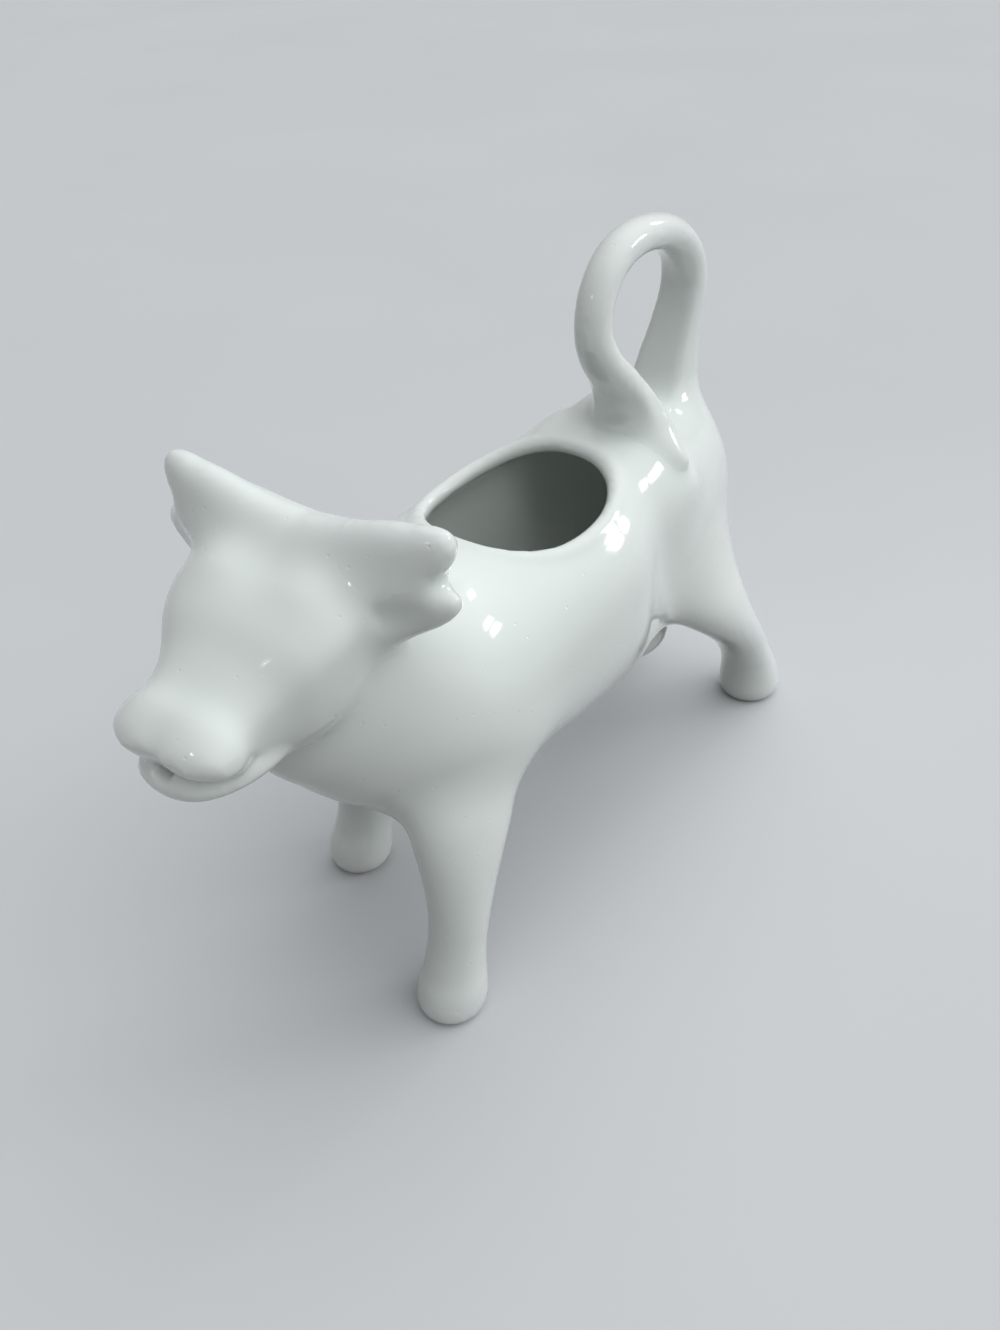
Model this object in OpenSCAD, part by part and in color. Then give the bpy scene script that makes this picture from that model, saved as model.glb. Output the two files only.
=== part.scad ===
// Cow shaped cream jug in white glazed porcelain. X runs forward to the muzzle, Y to the cow's left,
// Z up from the soles. Every length is in millimetres. The cow is slip cast and luted together from
// separate parts: a hollow trunk, a hollow head and neck, solid legs, horns, ears, tail and udder.

/* [Trunk] */
// Rump to the far end of the neck
trunk_length = 133.5; // [125:0.5:145]
// Floor to the flat of the back
back_height = 82.8; // [76:0.2:90]
// Width over the belly
barrel_width = 48.4; // [44:0.2:54]
// Thickness of the cast wall
wall = 3; // [2.4:0.1:4]
// How far each haunch stands out
haunch_swell = 1.6; // [1:0.1:5]
// How far each shoulder stands out
shoulder_swell = 2.2; // [1:0.1:4]
// Depth of the hollow in each flank
flank_hollow = 2.2; // [0:0.1:3]

/* [Filling opening] */
// Length of the oval opening in the back
opening_length = 39.6; // [32:0.2:42]
// Width of the oval opening
opening_width = 31; // [24:0.5:33]
// Distance from the rump to the middle of the opening
opening_setback = 64.8; // [62:0.1:68]
// Thickness of the rounded rim
rim_thickness = 3.8; // [3.2:0.1:5]

/* [Head] */
// Back of the poll to the muzzle
head_length = 40.4; // [36:0.2:44]
// Full depth of the head from poll to chin
head_depth = 40; // [36:0.5:44]
// Width over the brows
head_width = 33.3; // [30:0.1:37]
// Span over the horn tips
horn_span = 56.2; // [52:0.2:62]
// Span over the ear tips
ear_span = 58.2; // [54:0.2:64]
// How far the head is turned to the cow's left, in degrees
head_turn = 5.8; // [0:0.2:8]
// Width of the pouring hole under the muzzle
mouth_bore = 4.6; // [3.6:0.2:5.4]

/* [Legs] */
// Ground to the top of each leg inside the shoulder
leg_height = 60; // [53:0.5:65]
// Width of a front hoof
front_hoof = 13.2; // [11:0.1:16]
// Width of a rear hoof
rear_hoof = 14.6; // [12:0.1:17]
// Width between the middles of the front hooves
front_stance = 39.6; // [34:0.2:46]
// Width between the middles of the rear hooves
rear_stance = 38.2; // [32:0.2:46]
// Rump to the middle of the left front hoof
front_left_reach = 116; // [110:0.2:122]
// Rump to the middle of the right front hoof
front_right_reach = 99.8; // [94:0.2:122]
// Rump to the middle of the rear hooves
rear_reach = 0.4; // [-4:0.2:8]

/* [Tail and udder] */
// Rise of the tail loop over the rump
tail_rise = 48.6; // [42:0.2:56]
// Thickness of the tail where it is gripped
tail_thickness = 8; // [6:0.1:10]
// Width of the udder
udder_width = 13; // [9:0.1:16]

/* [Part] */
// Which part to draw

/* [Hidden] */
// How far a cutter runs past the surface that it cuts
overrun = 10;
// Points round a trunk section, its hollow and a limb, and steps between two written sections
trunk_points = 36;
hollow_points = 22;
trunk_steps = 2;
limb_points = 18;
limb_steps = 1;
// Where the head starts, forward along the trunk and up from the floor
head_along_share = 0.8315;
head_floor_share = 0.7367;
// The poll, from the start of the head
poll_along_share = 0.099;
poll_up_share = 0.925;
// Upright line about which the head is turned, from the start of the head
turn_along_share = 0.1238;
// Reach to the side of the foremost point of the turned nose
nose_side_share = 0.075;
// Root of the tail on the rump
tail_along_share = 0.0974;
tail_up_share = 0.8696;
// Level from which the filling opening is cut, inside the hollow
cut_floor_share = 0.7;
// Extra thickness of the wall at the closed end of the rump, in walls
rump_wall_shares = [2, 1.33];
// Each muscle: along the trunk, up, and its half length and half height
haunch_shares = [0.15, 0.58, 0.085, 0.26];
shoulder_shares = [0.78, 0.62, 0.1, 0.26];
flank_shares = [0.29, 0.62, 0.055, 0.3];
// Hollow in the front of an ear: forward, out and down from the poll, then its half sizes
scoop_place_shares = [0.17, 0.335, -0.16];
scoop_size_shares = [0.08, 0.12, 0.1];

// Trunk sections from the rump to inside the head. Each row gives the top point and the low point of a
// section as shares of trunk length and back height, the half width as a share of half the barrel
// width, the share of the height at which it is widest, and how full the curve is (2 is an ellipse).
trunk_shares = [
  [0, 0.732, 0, 0.669, 0.116, 0.5, 2],
  [0.004, 0.802, 0.004, 0.597, 0.24, 0.5, 2],
  [0.015, 0.853, 0.013, 0.539, 0.364, 0.52, 2],
  [0.037, 0.901, 0.034, 0.481, 0.488, 0.56, 2.1],
  [0.075, 0.937, 0.067, 0.435, 0.595, 0.62, 2.3],
  [0.127, 0.961, 0.116, 0.403, 0.669, 0.66, 2.6],
  [0.187, 0.981, 0.18, 0.384, 0.727, 0.68, 2.8],
  [0.255, 0.993, 0.247, 0.377, 0.785, 0.66, 2.8],
  [0.33, 1, 0.322, 0.374, 0.876, 0.63, 2.7],
  [0.412, 0.99, 0.419, 0.379, 0.959, 0.6, 2.6],
  [0.502, 0.976, 0.524, 0.391, 1, 0.6, 2.5],
  [0.584, 0.966, 0.637, 0.408, 1, 0.58, 2.5],
  [0.652, 0.969, 0.742, 0.43, 0.975, 0.56, 2.3],
  [0.704, 0.99, 0.831, 0.477, 0.909, 0.54, 2.2],
  [0.749, 1.039, 0.906, 0.568, 0.818, 0.54, 2.2],
  [0.79, 1.091, 0.955, 0.664, 0.715, 0.56, 2.1],
  [0.824, 1.13, 0.986, 0.743, 0.612, 0.57, 2.1],
  [0.854, 1.152, 0.987, 0.864, 0.496, 0.55, 2.1]];
// Row of the table at which head and trunk are luted
seat_row = 14;

// Head sections from the poll to the muzzle, as shares of head length, head depth and head width
head_shares = [
  [0.012, 0.84, 0.074, 0.475, 0.541, 0.5, 2],
  [0.05, 0.905, 0.124, 0.355, 0.787, 0.62, 2.2],
  [0.136, 0.92, 0.21, 0.273, 0.919, 0.73, 2.5],
  [0.26, 0.875, 0.309, 0.235, 0.985, 0.74, 2.5],
  [0.396, 0.838, 0.416, 0.21, 1, 0.75, 2.5],
  [0.532, 0.77, 0.527, 0.195, 0.895, 0.74, 2.4],
  [0.656, 0.68, 0.634, 0.245, 0.703, 0.66, 2.2],
  [0.77, 0.613, 0.73, 0.285, 0.613, 0.6, 2.2],
  [0.871, 0.582, 0.812, 0.33, 0.655, 0.54, 2.2],
  [0.955, 0.53, 0.891, 0.365, 0.619, 0.52, 2.2],
  [1, 0.482, 0.965, 0.395, 0.408, 0.5, 2]];

// Sections of the legs: forward from the foot and up as shares of leg height, sideways as a share of
// half the stance, then half length and half width as shares of the hoof
front_left_shares = [
  [0, 1, 0, 0.394, 0.394],
  [0, 1, 0.015, 0.477, 0.47],
  [-0.003, 1, 0.05, 0.523, 0.5],
  [-0.013, 1, 0.108, 0.5, 0.485],
  [-0.03, 1, 0.175, 0.447, 0.439],
  [-0.05, 1, 0.267, 0.417, 0.417],
  [-0.073, 0.99, 0.367, 0.447, 0.432],
  [-0.102, 0.96, 0.467, 0.545, 0.47],
  [-0.133, 0.919, 0.558, 0.682, 0.515],
  [-0.167, 0.869, 0.65, 0.833, 0.553],
  [-0.197, 0.798, 0.75, 0.939, 0.576],
  [-0.22, 0.697, 0.85, 0.924, 0.545],
  [-0.243, 0.475, 1, 0.667, 0.394]];
front_right_shares = [
  [0, 1, 0, 0.394, 0.394],
  [0, 1, 0.015, 0.477, 0.47],
  [-0.003, 1, 0.05, 0.523, 0.5],
  [-0.017, 1, 0.108, 0.5, 0.485],
  [-0.037, 1, 0.175, 0.447, 0.439],
  [-0.053, 0.99, 0.267, 0.417, 0.417],
  [-0.057, 0.98, 0.367, 0.447, 0.432],
  [-0.047, 0.941, 0.467, 0.545, 0.47],
  [-0.027, 0.901, 0.558, 0.682, 0.515],
  [-0.003, 0.851, 0.65, 0.833, 0.553],
  [0.013, 0.782, 0.75, 0.939, 0.576],
  [0.02, 0.683, 0.85, 0.924, 0.545],
  [0.023, 0.465, 1, 0.667, 0.394]];
rear_shares = [
  [0, 1, 0, 0.404, 0.39],
  [0, 1, 0.015, 0.479, 0.466],
  [0.003, 1, 0.053, 0.514, 0.493],
  [0.012, 0.995, 0.117, 0.486, 0.473],
  [0.037, 0.99, 0.192, 0.438, 0.432],
  [0.08, 0.979, 0.275, 0.425, 0.411],
  [0.14, 0.963, 0.367, 0.466, 0.425],
  [0.213, 0.932, 0.458, 0.548, 0.452],
  [0.283, 0.88, 0.55, 0.671, 0.479],
  [0.337, 0.806, 0.642, 0.781, 0.493],
  [0.367, 0.712, 0.733, 0.849, 0.479],
  [0.38, 0.597, 0.833, 0.822, 0.438],
  [0.377, 0.356, 1, 0.534, 0.301]];

// Sections of a horn and of an ear: out as a share of half the span, forward and up from the poll, then
// half thickness and half height, as shares of head depth
horn_shares = [
  [0.107, 0.035, -0.185, 0.115, 0.168],
  [0.285, 0.03, -0.15, 0.12, 0.182],
  [0.445, 0.028, -0.115, 0.118, 0.188],
  [0.587, 0.028, -0.07, 0.113, 0.173],
  [0.712, 0.025, -0.025, 0.107, 0.15],
  [0.811, 0.02, 0.015, 0.095, 0.123],
  [0.89, 0.013, 0.05, 0.082, 0.098],
  [0.947, 0.01, 0.073, 0.065, 0.072],
  [0.982, 0.007, 0.085, 0.042, 0.045],
  [1, 0.005, 0.09, 0.013, 0.013]];
ear_shares = [
  [0.309, 0.08, -0.32, 0.11, 0.165],
  [0.464, 0.072, -0.275, 0.105, 0.158],
  [0.601, 0.062, -0.235, 0.095, 0.143],
  [0.722, 0.055, -0.2, 0.082, 0.123],
  [0.825, 0.045, -0.175, 0.07, 0.1],
  [0.9, 0.037, -0.157, 0.057, 0.077],
  [0.955, 0.03, -0.148, 0.045, 0.055],
  [0.986, 0.025, -0.143, 0.028, 0.03],
  [1, 0.025, -0.14, 0.01, 0.013]];

// Tail from its root on the rump: forward and up as shares of the rise, sideways, half thickness in
// the plane of the loop and half thickness across as shares of the tail thickness
tail_shares = [
  [0.082, -0.125, -0.123, 1.312, 0.775],
  [0.049, -0.125, 0.021, 1.2, 0.75],
  [0.016, -0.125, 0.156, 1.05, 0.7],
  [-0.012, -0.125, 0.288, 0.9, 0.65],
  [-0.041, -0.125, 0.412, 0.738, 0.625],
  [-0.068, -0.125, 0.527, 0.613, 0.613],
  [-0.08, -0.125, 0.63, 0.537, 0.6],
  [-0.058, -0.113, 0.733, 0.487, 0.575],
  [0.021, -0.075, 0.823, 0.45, 0.55],
  [0.132, 0, 0.885, 0.425, 0.525],
  [0.251, 0.075, 0.918, 0.425, 0.5],
  [0.37, 0.15, 0.928, 0.425, 0.487],
  [0.49, 0.225, 0.909, 0.425, 0.475],
  [0.588, 0.287, 0.848, 0.425, 0.475],
  [0.65, 0.338, 0.757, 0.438, 0.475],
  [0.667, 0.388, 0.646, 0.45, 0.487],
  [0.64, 0.438, 0.535, 0.487, 0.512],
  [0.584, 0.487, 0.432, 0.562, 0.562],
  [0.514, 0.562, 0.333, 0.662, 0.625]];
// Leaf shaped tuft that lies on the back
tuft_shares = [
  [0.547, 0.525, 0.381, 0.562, 0.537],
  [0.514, 0.562, 0.333, 0.662, 0.625],
  [0.461, 0.688, 0.255, 0.775, 0.613],
  [0.42, 0.875, 0.198, 0.825, 0.562],
  [0.393, 1.125, 0.16, 0.775, 0.5],
  [0.379, 1.4, 0.136, 0.65, 0.438],
  [0.372, 1.663, 0.115, 0.512, 0.375],
  [0.37, 1.9, 0.097, 0.362, 0.287],
  [0.37, 2.075, 0.082, 0.2, 0.175],
  [0.37, 2.15, 0.076, 0.062, 0.062]];
// Udder: forward and up as trunk shares, half width and half height as shares of its width
udder_shares = [
  [0.157, 0.374, 0.077, 0.077],
  [0.165, 0.37, 0.277, 0.215],
  [0.18, 0.362, 0.4, 0.292],
  [0.199, 0.355, 0.477, 0.338],
  [0.217, 0.35, 0.508, 0.369],
  [0.236, 0.35, 0.492, 0.354],
  [0.255, 0.353, 0.415, 0.292],
  [0.27, 0.357, 0.292, 0.215],
  [0.277, 0.362, 0.077, 0.077]];
// Lower jaw from the throat to the pouring lip: forward, up, half length, half width, half height
lip_shares = [
  [0.47, 0.315, 0.312, 0.517, 0.252],
  [0.594, 0.315, 0.312, 0.565, 0.24],
  [0.705, 0.315, 0.3, 0.577, 0.222],
  [0.797, 0.318, 0.276, 0.541, 0.192],
  [0.866, 0.32, 0.24, 0.468, 0.162],
  [0.916, 0.323, 0.192, 0.372, 0.132]];
// Pour channel from the neck to the mouth: forward, up, radius as a share of the mouth's radius
channel_shares = [
  [0.149, 0.475, 4.565],
  [0.26, 0.487, 4.348],
  [0.371, 0.485, 3.826],
  [0.47, 0.468, 3.391],
  [0.569, 0.448, 2.739],
  [0.656, 0.42, 2.174],
  [0.73, 0.4, 1.739],
  [0.804, 0.385, 1.304],
  [0.879, 0.38, 1],
  [1.027, 0.375, 1]];

// The middle of the whole length lies over the origin
rump_x = -(head_front_x() + rear_end_x()) / 2;
head_x = rump_x + trunk_length * head_along_share;
head_z = back_height * head_floor_share;
poll_x = head_x + head_length * poll_along_share;
poll_z = head_z + head_depth * poll_up_share;
tail_x = rump_x + trunk_length * tail_along_share;
tail_z = back_height * tail_up_share;
turn_x = head_x + head_length * turn_along_share;
function head_front_x() = trunk_length * head_along_share
  + head_length * (turn_along_share + (1 - turn_along_share) * cos(head_turn))
  + head_width * nose_side_share * sin(head_turn);
function rear_end_x() = min(0, rear_reach - rear_hoof / 2);

// Smooth curve through table rows
function glide(a, b, c, d, t) =
  b + t * ((c - a) + t * ((2 * a - 5 * b + 4 * c - d) + t * (3 * (b - c) + d - a))) / 2;
function row_between(rows, i, t) = let (last = len(rows) - 1)
  [for (k = [0:len(rows[0]) - 1])
    glide(rows[max(i - 1, 0)][k], rows[i][k], rows[min(i + 1, last)][k], rows[min(i + 2, last)][k], t)];
function finer(rows, steps) = concat(
  [for (i = [0:len(rows) - 2], j = [0:steps - 1]) row_between(rows, i, j / steps)],
  [rows[len(rows) - 1]]);
function rounded(value, power) = sign(value) * pow(abs(value), power);
function part_of(rows, first, last) = [for (i = [first:last]) rows[i]];

// Outward swell of the flesh at a point of the trunk, strongest in the middle of each muscle
function hump(x, z, shares, amount) =
  let (u = (x - rump_x - shares[0] * trunk_length) / (shares[2] * trunk_length),
       v = (z - shares[1] * back_height) / (shares[3] * back_height))
  amount * exp(-u * u - v * v);
function swell(x, z) = hump(x, z, haunch_shares, haunch_swell)
  + hump(x, z, shoulder_shares, shoulder_swell) - hump(x, z, flank_shares, flank_hollow);

// Trunk rows in millimetres: [top x, top z, low x, low z, half width, widest share, fullness]
function trunk_row(r) = [rump_x + r[0] * trunk_length, r[1] * back_height, rump_x + r[2] * trunk_length,
  r[3] * back_height, r[4] * barrel_width / 2, r[5], r[6]];
function trunk_rows(steps) = [for (r = finer(trunk_shares, steps)) trunk_row(r)];
function head_rows(steps) = [for (r = finer(head_shares, steps))
  [head_x + r[0] * head_length, head_z + r[1] * head_depth, head_x + r[2] * head_length,
   head_z + r[3] * head_depth, r[4] * head_width / 2, r[5], r[6]]];

// Points of one section, drawn in by an inset
function section(row, inset, points, fleshy) =
  let (top = [row[0], row[1]], low = [row[2], row[3]], mid = low + (top - low) * row[5],
       along = (top - low) / norm(top - low), rise = norm(top - mid) - inset,
       drop = norm(mid - low) - inset, half = row[4] - inset)
  [for (i = [0:points - 1]) let (a = 360 * i / points,
     v = rounded(sin(a), 2 / row[6]) * (sin(a) > 0 ? rise : drop), p = mid + along * v)
     [p[0], half * rounded(cos(a), 2 / row[6]) + (fleshy ? cos(a) * swell(p[0], p[1]) : 0), p[1]]];

// Closed solid through a list of sections with equal counts of points
module skin(rings) {
  n = len(rings[0]);
  last = len(rings) - 1;
  polyhedron(points = [for (r = rings) each r], faces = concat(
    [[for (i = [0:n - 1]) i]],
    [for (j = [0:last - 1], i = [0:n - 1]) let (a = j * n + i, b = j * n + (i + 1) % n)
      each [[a, a + n, b], [b, a + n, b + n]]],
    [[for (i = [n - 1:-1:0]) last * n + i]]));
}

// Solid run of hulls between neighbouring sections
module run(rings) {
  for (i = [0:len(rings) - 2]) hull() skin([rings[i], rings[i + 1]]);
}

// Height of the trunk's skin over a point of the back
function skin_z(x, y) = lookup(x, [for (r = trunk_rows(trunk_steps))
  let (top = [r[0], r[1]], low = [r[2], r[3]], mid = low + (top - low) * r[5],
       across = min(abs(y) / r[4], 1), rise = pow(1 - pow(across, r[6]), 1 / r[6]),
       p = mid + (top - mid) * rise)
  if (r[4] > opening_width / 2) [p[0], p[1]]]);

// Whole outer skin of the trunk up to the row where the head is luted on
module trunk_outside() {
  rows = trunk_rows(trunk_steps);
  skin([for (r = part_of(rows, 0, seat_row * trunk_steps)) section(r, 0, trunk_points, true)]);
}
module neck_outside() {
  rows = trunk_rows(trunk_steps);
  skin([for (r = part_of(rows, seat_row * trunk_steps, len(rows) - 1))
    section(r, 0, trunk_points, true)]);
}
// Turns what belongs to the head on the neck
module turned() {
  translate([turn_x, 0, 0]) rotate([0, 0, head_turn]) translate([-turn_x, 0, 0]) children();
}
module head_outside() {
  turned() skin([for (r = head_rows(2)) section(r, 0, trunk_points, false)]);
}

// One hollow runs from the rump through the neck; the pour channel carries it to the mouth. Its
// sections stand between those of the skin, so none lies in the luting plane
function hollow_rows() = [for (i = [2:len(trunk_shares) - 3], share = [0.25, 0.75])
  trunk_row(row_between(trunk_shares, i, share))];
module hollow() {
  rows = hollow_rows();
  skin([for (i = [0:len(rows) - 1]) section(rows[i], wall * (i < 2 ? rump_wall_shares[i] : 1),
    hollow_points, true)]);
}
module pour_channel() {
  rings = [for (r = channel_shares) [head_x + r[0] * head_length, head_z + r[1] * head_depth,
    r[2] * mouth_bore / 2]];
  turned() for (i = [0:len(rings) - 2]) hull() {
    translate([rings[i][0], 0, rings[i][1]]) sphere(r = rings[i][2], $fn = 12);
    translate([rings[i + 1][0], 0, rings[i + 1][1]]) sphere(r = rings[i + 1][2], $fn = 12);
  }
}

// Oval of the filling opening
function oval(angle, inset) = [rump_x + opening_setback + (opening_length / 2 - inset) * cos(angle),
  (opening_width / 2 - inset) * sin(angle)];
module filling_cut() {
  floor = back_height * cut_floor_share;
  translate([0, 0, floor]) linear_extrude(back_height - floor + overrun)
    polygon([for (i = [0:39]) oval(360 * i / 40, 0)]);
}
// Rounded rim: a bead that follows the edge of the cut, half sunk into the wall
module rim() {
  rim_steps = 32;
  beads = [for (i = [0:rim_steps]) let (p = oval(360 * i / rim_steps, 0))
    [p[0], p[1], skin_z(p[0], p[1]) - wall / 2]];
  for (i = [0:rim_steps - 1]) hull() for (p = [beads[i], beads[i + 1]])
    translate(p) sphere(r = rim_thickness / 2, $fn = 10);
}

module body_shell() {
  color("#e4e8e2") union() {
    difference() {
      trunk_outside();
      hollow();
      filling_cut();
    }
    rim();
  }
}

module lower_jaw() {
  half = head_width / 2;
  turned() for (i = [0:len(lip_shares) - 2]) hull() for (r = [lip_shares[i], lip_shares[i + 1]])
    translate([head_x + r[0] * head_length, 0, head_z + r[1] * head_depth])
      scale([r[2] * half, r[3] * half, r[4] * half]) sphere(r = 1, $fn = 20);
}
module head_shell() {
  color("#dfe3ea") difference() {
    union() {
      neck_outside();
      head_outside();
      lower_jaw();
    }
    hollow();
    pour_channel();
  }
}

// Shallow hollow in the front of an ear
module ear_scoop(side) {
  place = scoop_place_shares;
  size = scoop_size_shares;
  turned() translate([poll_x + head_depth * place[0], side * ear_span * place[1],
    poll_z + head_depth * place[2]])
    scale([head_depth * size[0], ear_span * size[1], head_depth * size[2]]) sphere(r = 1, $fn = 20);
}
// A horn or an ear: sections stand across the head at growing distance from its middle plane
function side_rings(shares, span, side) = [for (r = finer(shares, limb_steps))
  [for (i = [0:limb_points - 1]) let (a = 360 * i / limb_points)
    [poll_x + (r[1] + r[3] * cos(a)) * head_depth, side * r[0] * span / 2,
     poll_z + (r[2] + side * r[4] * sin(a)) * head_depth]]];
module horn(side) {
  color("#dde2e8") difference() {
    turned() run(side_rings(horn_shares, horn_span, side));
    head_outside();
    neck_outside();
  }
}
module ear(side) {
  color("#d8dde6") difference() {
    turned() run(side_rings(ear_shares, ear_span, side));
    head_outside();
    neck_outside();
    turned() run(side_rings(horn_shares, horn_span, side));
    ear_scoop(side);
  }
}
module left_horn() { horn(1); }
module right_horn() { horn(-1); }
module left_ear() { ear(1); }
module right_ear() { ear(-1); }

// A leg: level sections from the sole up into the flesh, cut to the skin that it is luted to
module leg(shares, reach, stance, hoof, side) {
  rings = [for (r = shares) [for (i = [0:limb_points - 1]) let (a = 360 * i / limb_points)
    [rump_x + reach + r[0] * leg_height + r[3] * hoof * cos(a),
     side * r[1] * stance / 2 + r[4] * hoof * sin(a), r[2] * leg_height]]];
  color("#e0e4d8") difference() {
    run(rings);
    trunk_outside();
    neck_outside();
  }
}
module front_left_leg() { leg(front_left_shares, front_left_reach, front_stance, front_hoof, 1); }
module front_right_leg() { leg(front_right_shares, front_right_reach, front_stance, front_hoof, -1); }
module rear_left_leg() { leg(rear_shares, rear_reach, rear_stance, rear_hoof, 1); }
module rear_right_leg() { leg(rear_shares, rear_reach, rear_stance, rear_hoof, -1); }

// Sections square to a middle line. The tail bends in side view; its tuft lies on the back, so there
// the sections turn until their wide way leans over the tail's root
lean = [-0.8, 0, 0.6];
function strand(rows, leaf) = let (last = len(rows) - 1) [for (i = [0:last])
  let (way = rows[min(i + 1, last)] - rows[max(i - 1, 0)], along = [way[0], way[1], way[2]],
       beside = cross(along, leaf ? lean : [along[2], 0, -along[0]]), side = beside / norm(beside),
       thick = cross(side, along), wide = thick / norm(thick), r = rows[i])
  [for (j = [0:limb_points - 1]) let (a = 360 * j / limb_points)
    [r[0], r[1], r[2]] + wide * r[3] * cos(a) + side * r[4] * sin(a)]];
function tail_mm(shares) = [for (r = finer(shares, 2)) [tail_x + r[0] * tail_rise, r[1] * tail_thickness,
  tail_z + r[2] * tail_rise, r[3] * tail_thickness, r[4] * tail_thickness]];
module tail_handle() {
  color("#e2e6e0") difference() {
    skin(strand(tail_mm(tail_shares), false));
    trunk_outside();
    rim();
  }
}
module tail_tuft() {
  color("#dcdfdb") difference() {
    skin(strand(tail_mm(tuft_shares), true));
    trunk_outside();
    rim();
    skin(strand(tail_mm(tail_shares), false));
  }
}

module udder() {
  rings = [for (r = udder_shares) [for (i = [0:limb_points - 1]) let (a = 360 * i / limb_points)
    [rump_x + r[0] * trunk_length, r[2] * udder_width * cos(a),
     r[1] * back_height + r[3] * udder_width * sin(a)]]];
  color("#dfe2dc") difference() {
    run(rings);
    trunk_outside();
  }
}

body_shell();
head_shell();
left_horn();
right_horn();
left_ear();
right_ear();
front_left_leg();
front_right_leg();
rear_left_leg();
rear_right_leg();
tail_handle();
tail_tuft();
udder();
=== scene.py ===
import math

import bpy
import numpy as np
from mathutils import Matrix, Vector
from mathutils.bvhtree import BVHTree


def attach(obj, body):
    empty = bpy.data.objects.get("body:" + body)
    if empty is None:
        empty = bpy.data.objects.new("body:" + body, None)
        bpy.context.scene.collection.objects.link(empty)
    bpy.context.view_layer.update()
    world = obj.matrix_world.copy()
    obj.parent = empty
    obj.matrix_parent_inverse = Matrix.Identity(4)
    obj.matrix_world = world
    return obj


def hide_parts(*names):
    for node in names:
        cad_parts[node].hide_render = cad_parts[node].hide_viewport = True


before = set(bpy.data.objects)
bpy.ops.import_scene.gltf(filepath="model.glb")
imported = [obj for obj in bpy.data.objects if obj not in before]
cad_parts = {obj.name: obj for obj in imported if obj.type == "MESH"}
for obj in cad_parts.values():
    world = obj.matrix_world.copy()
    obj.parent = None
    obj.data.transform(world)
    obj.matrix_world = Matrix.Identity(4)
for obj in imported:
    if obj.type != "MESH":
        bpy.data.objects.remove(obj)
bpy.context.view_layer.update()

# A cow creamer in white porcelain. The jug is worked here as one clay, as the finished jug is: each
# luted part is a form of its own, the joints are wiped over with slip, and the whole is then cut along
# the joints into the pieces that the model names. Tables are in millimetres. Their x is counted from a
# line that lies FORWARD ahead of the part's origin.

GRAIN = 0.65            # fineness of the clay, mm
FORWARD = 0.711         # from the tables' x to the part's x, mm
FAR = 99.0              # stands for any distance too great to matter, mm
WALL = 3.0              # cast wall, mm
SHELLS = {"body_shell", "head_shell"}     # the two parts that are hollow
SOLE_PRESS = 0.12       # clay this near the table is pressed flat against it, mm
RUMP_X, TRUNK_LENGTH, BACK_HEIGHT = -73.0, 133.5, 82.8
MOUTH_X, MOUTH_LONG, MOUTH_WIDE, MOUTH_FULL = -6.0 - FORWARD, 18.5, 16.4, 2.25
SEAT_ROW = 14           # row of the trunk where the neck of the head part sits on
ROW_STEP = 6            # about how far apart the rows lie there, mm
LEG_SEAT = 52           # height up to which a leg counts as leg, mm
HORN_SEAT = 13.0        # how far out the poll ends and a horn begins, mm
HEAD_TURN, TURN_X = 5.8, 43.0   # the head looks a little to the cow's left, degrees round a line at this x

# trunk and neck: top x, top z, low x, low z, half width, height of the widest place, fullness
TRUNK = [
    (-73.0, 60.0, -73.0, 55.4, 1.4, .50, 2.0), (-72.4, 65.6, -72.5, 49.4, 4.8, .49, 2.0),
    (-71.0, 70.0, -71.3, 44.4, 7.8, .50, 2.0), (-68.0, 74.4, -68.5, 39.0, 10.3, .52, 2.0),
    (-63.0, 77.8, -64.0, 34.9, 12.7, .54, 2.1), (-56.0, 80.2, -57.5, 32.3, 14.6, .56, 2.15),
    (-48.0, 82.0, -49.0, 31.0, 16.6, .58, 2.3), (-39.0, 82.8, -40.0, 31.2, 18.8, .60, 2.5),
    (-29.0, 82.9, -30.0, 31.0, 21.0, .61, 2.6), (-18.0, 82.0, -17.0, 31.6, 23.1, .60, 2.6),
    (-6.0, 80.8, -3.0, 33.0, 24.1, .60, 2.5), (5.0, 80.0, 12.0, 34.8, 24.0, .58, 2.45),
    (14.0, 80.2, 26.0, 36.4, 23.4, .56, 2.3), (21.0, 82.0, 38.0, 39.8, 21.9, .54, 2.2),
    (27.0, 86.0, 48.0, 47.0, 19.8, .54, 2.2), (32.5, 90.3, 54.5, 55.0, 17.3, .56, 2.1),
    (37.0, 93.6, 58.6, 61.5, 14.8, .57, 2.1), (41.0, 95.4, 58.8, 71.5, 12.0, .55, 2.1)]
HEAD = [
    (38.5, 94.6, 41.0, 80.0, 9.0, .50, 2.0), (40.0, 97.2, 43.0, 75.2, 13.1, .62, 2.2),
    (43.5, 97.8, 46.5, 71.9, 15.3, .73, 2.5), (48.5, 96.0, 50.5, 70.4, 16.4, .74, 2.5),
    (54.0, 94.5, 54.8, 69.4, 16.65, .75, 2.5), (59.5, 91.8, 59.3, 68.8, 14.9, .74, 2.4),
    (64.5, 88.2, 63.6, 69.4, 11.6, .71, 2.2), (69.1, 85.5, 67.5, 70.8, 10.0, .66, 2.2),
    (73.2, 84.3, 70.8, 73.0, 10.9, .56, 2.2), (76.6, 82.2, 74.0, 75.2, 10.3, .52, 2.2),
    (78.4, 80.3, 77.0, 76.8, 6.8, .50, 2.0)]
# lower lip: x, z, half length, half width, half height
LIP = [
    (57.0, 73.6, 5.2, 8.6, 4.2), (62.0, 73.6, 5.2, 9.4, 4.0), (66.5, 73.6, 5.0, 9.6, 3.7),
    (70.2, 73.7, 4.6, 9.0, 3.2), (73.0, 73.8, 4.0, 7.8, 2.7), (75.0, 73.9, 3.2, 6.2, 2.2)]
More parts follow.
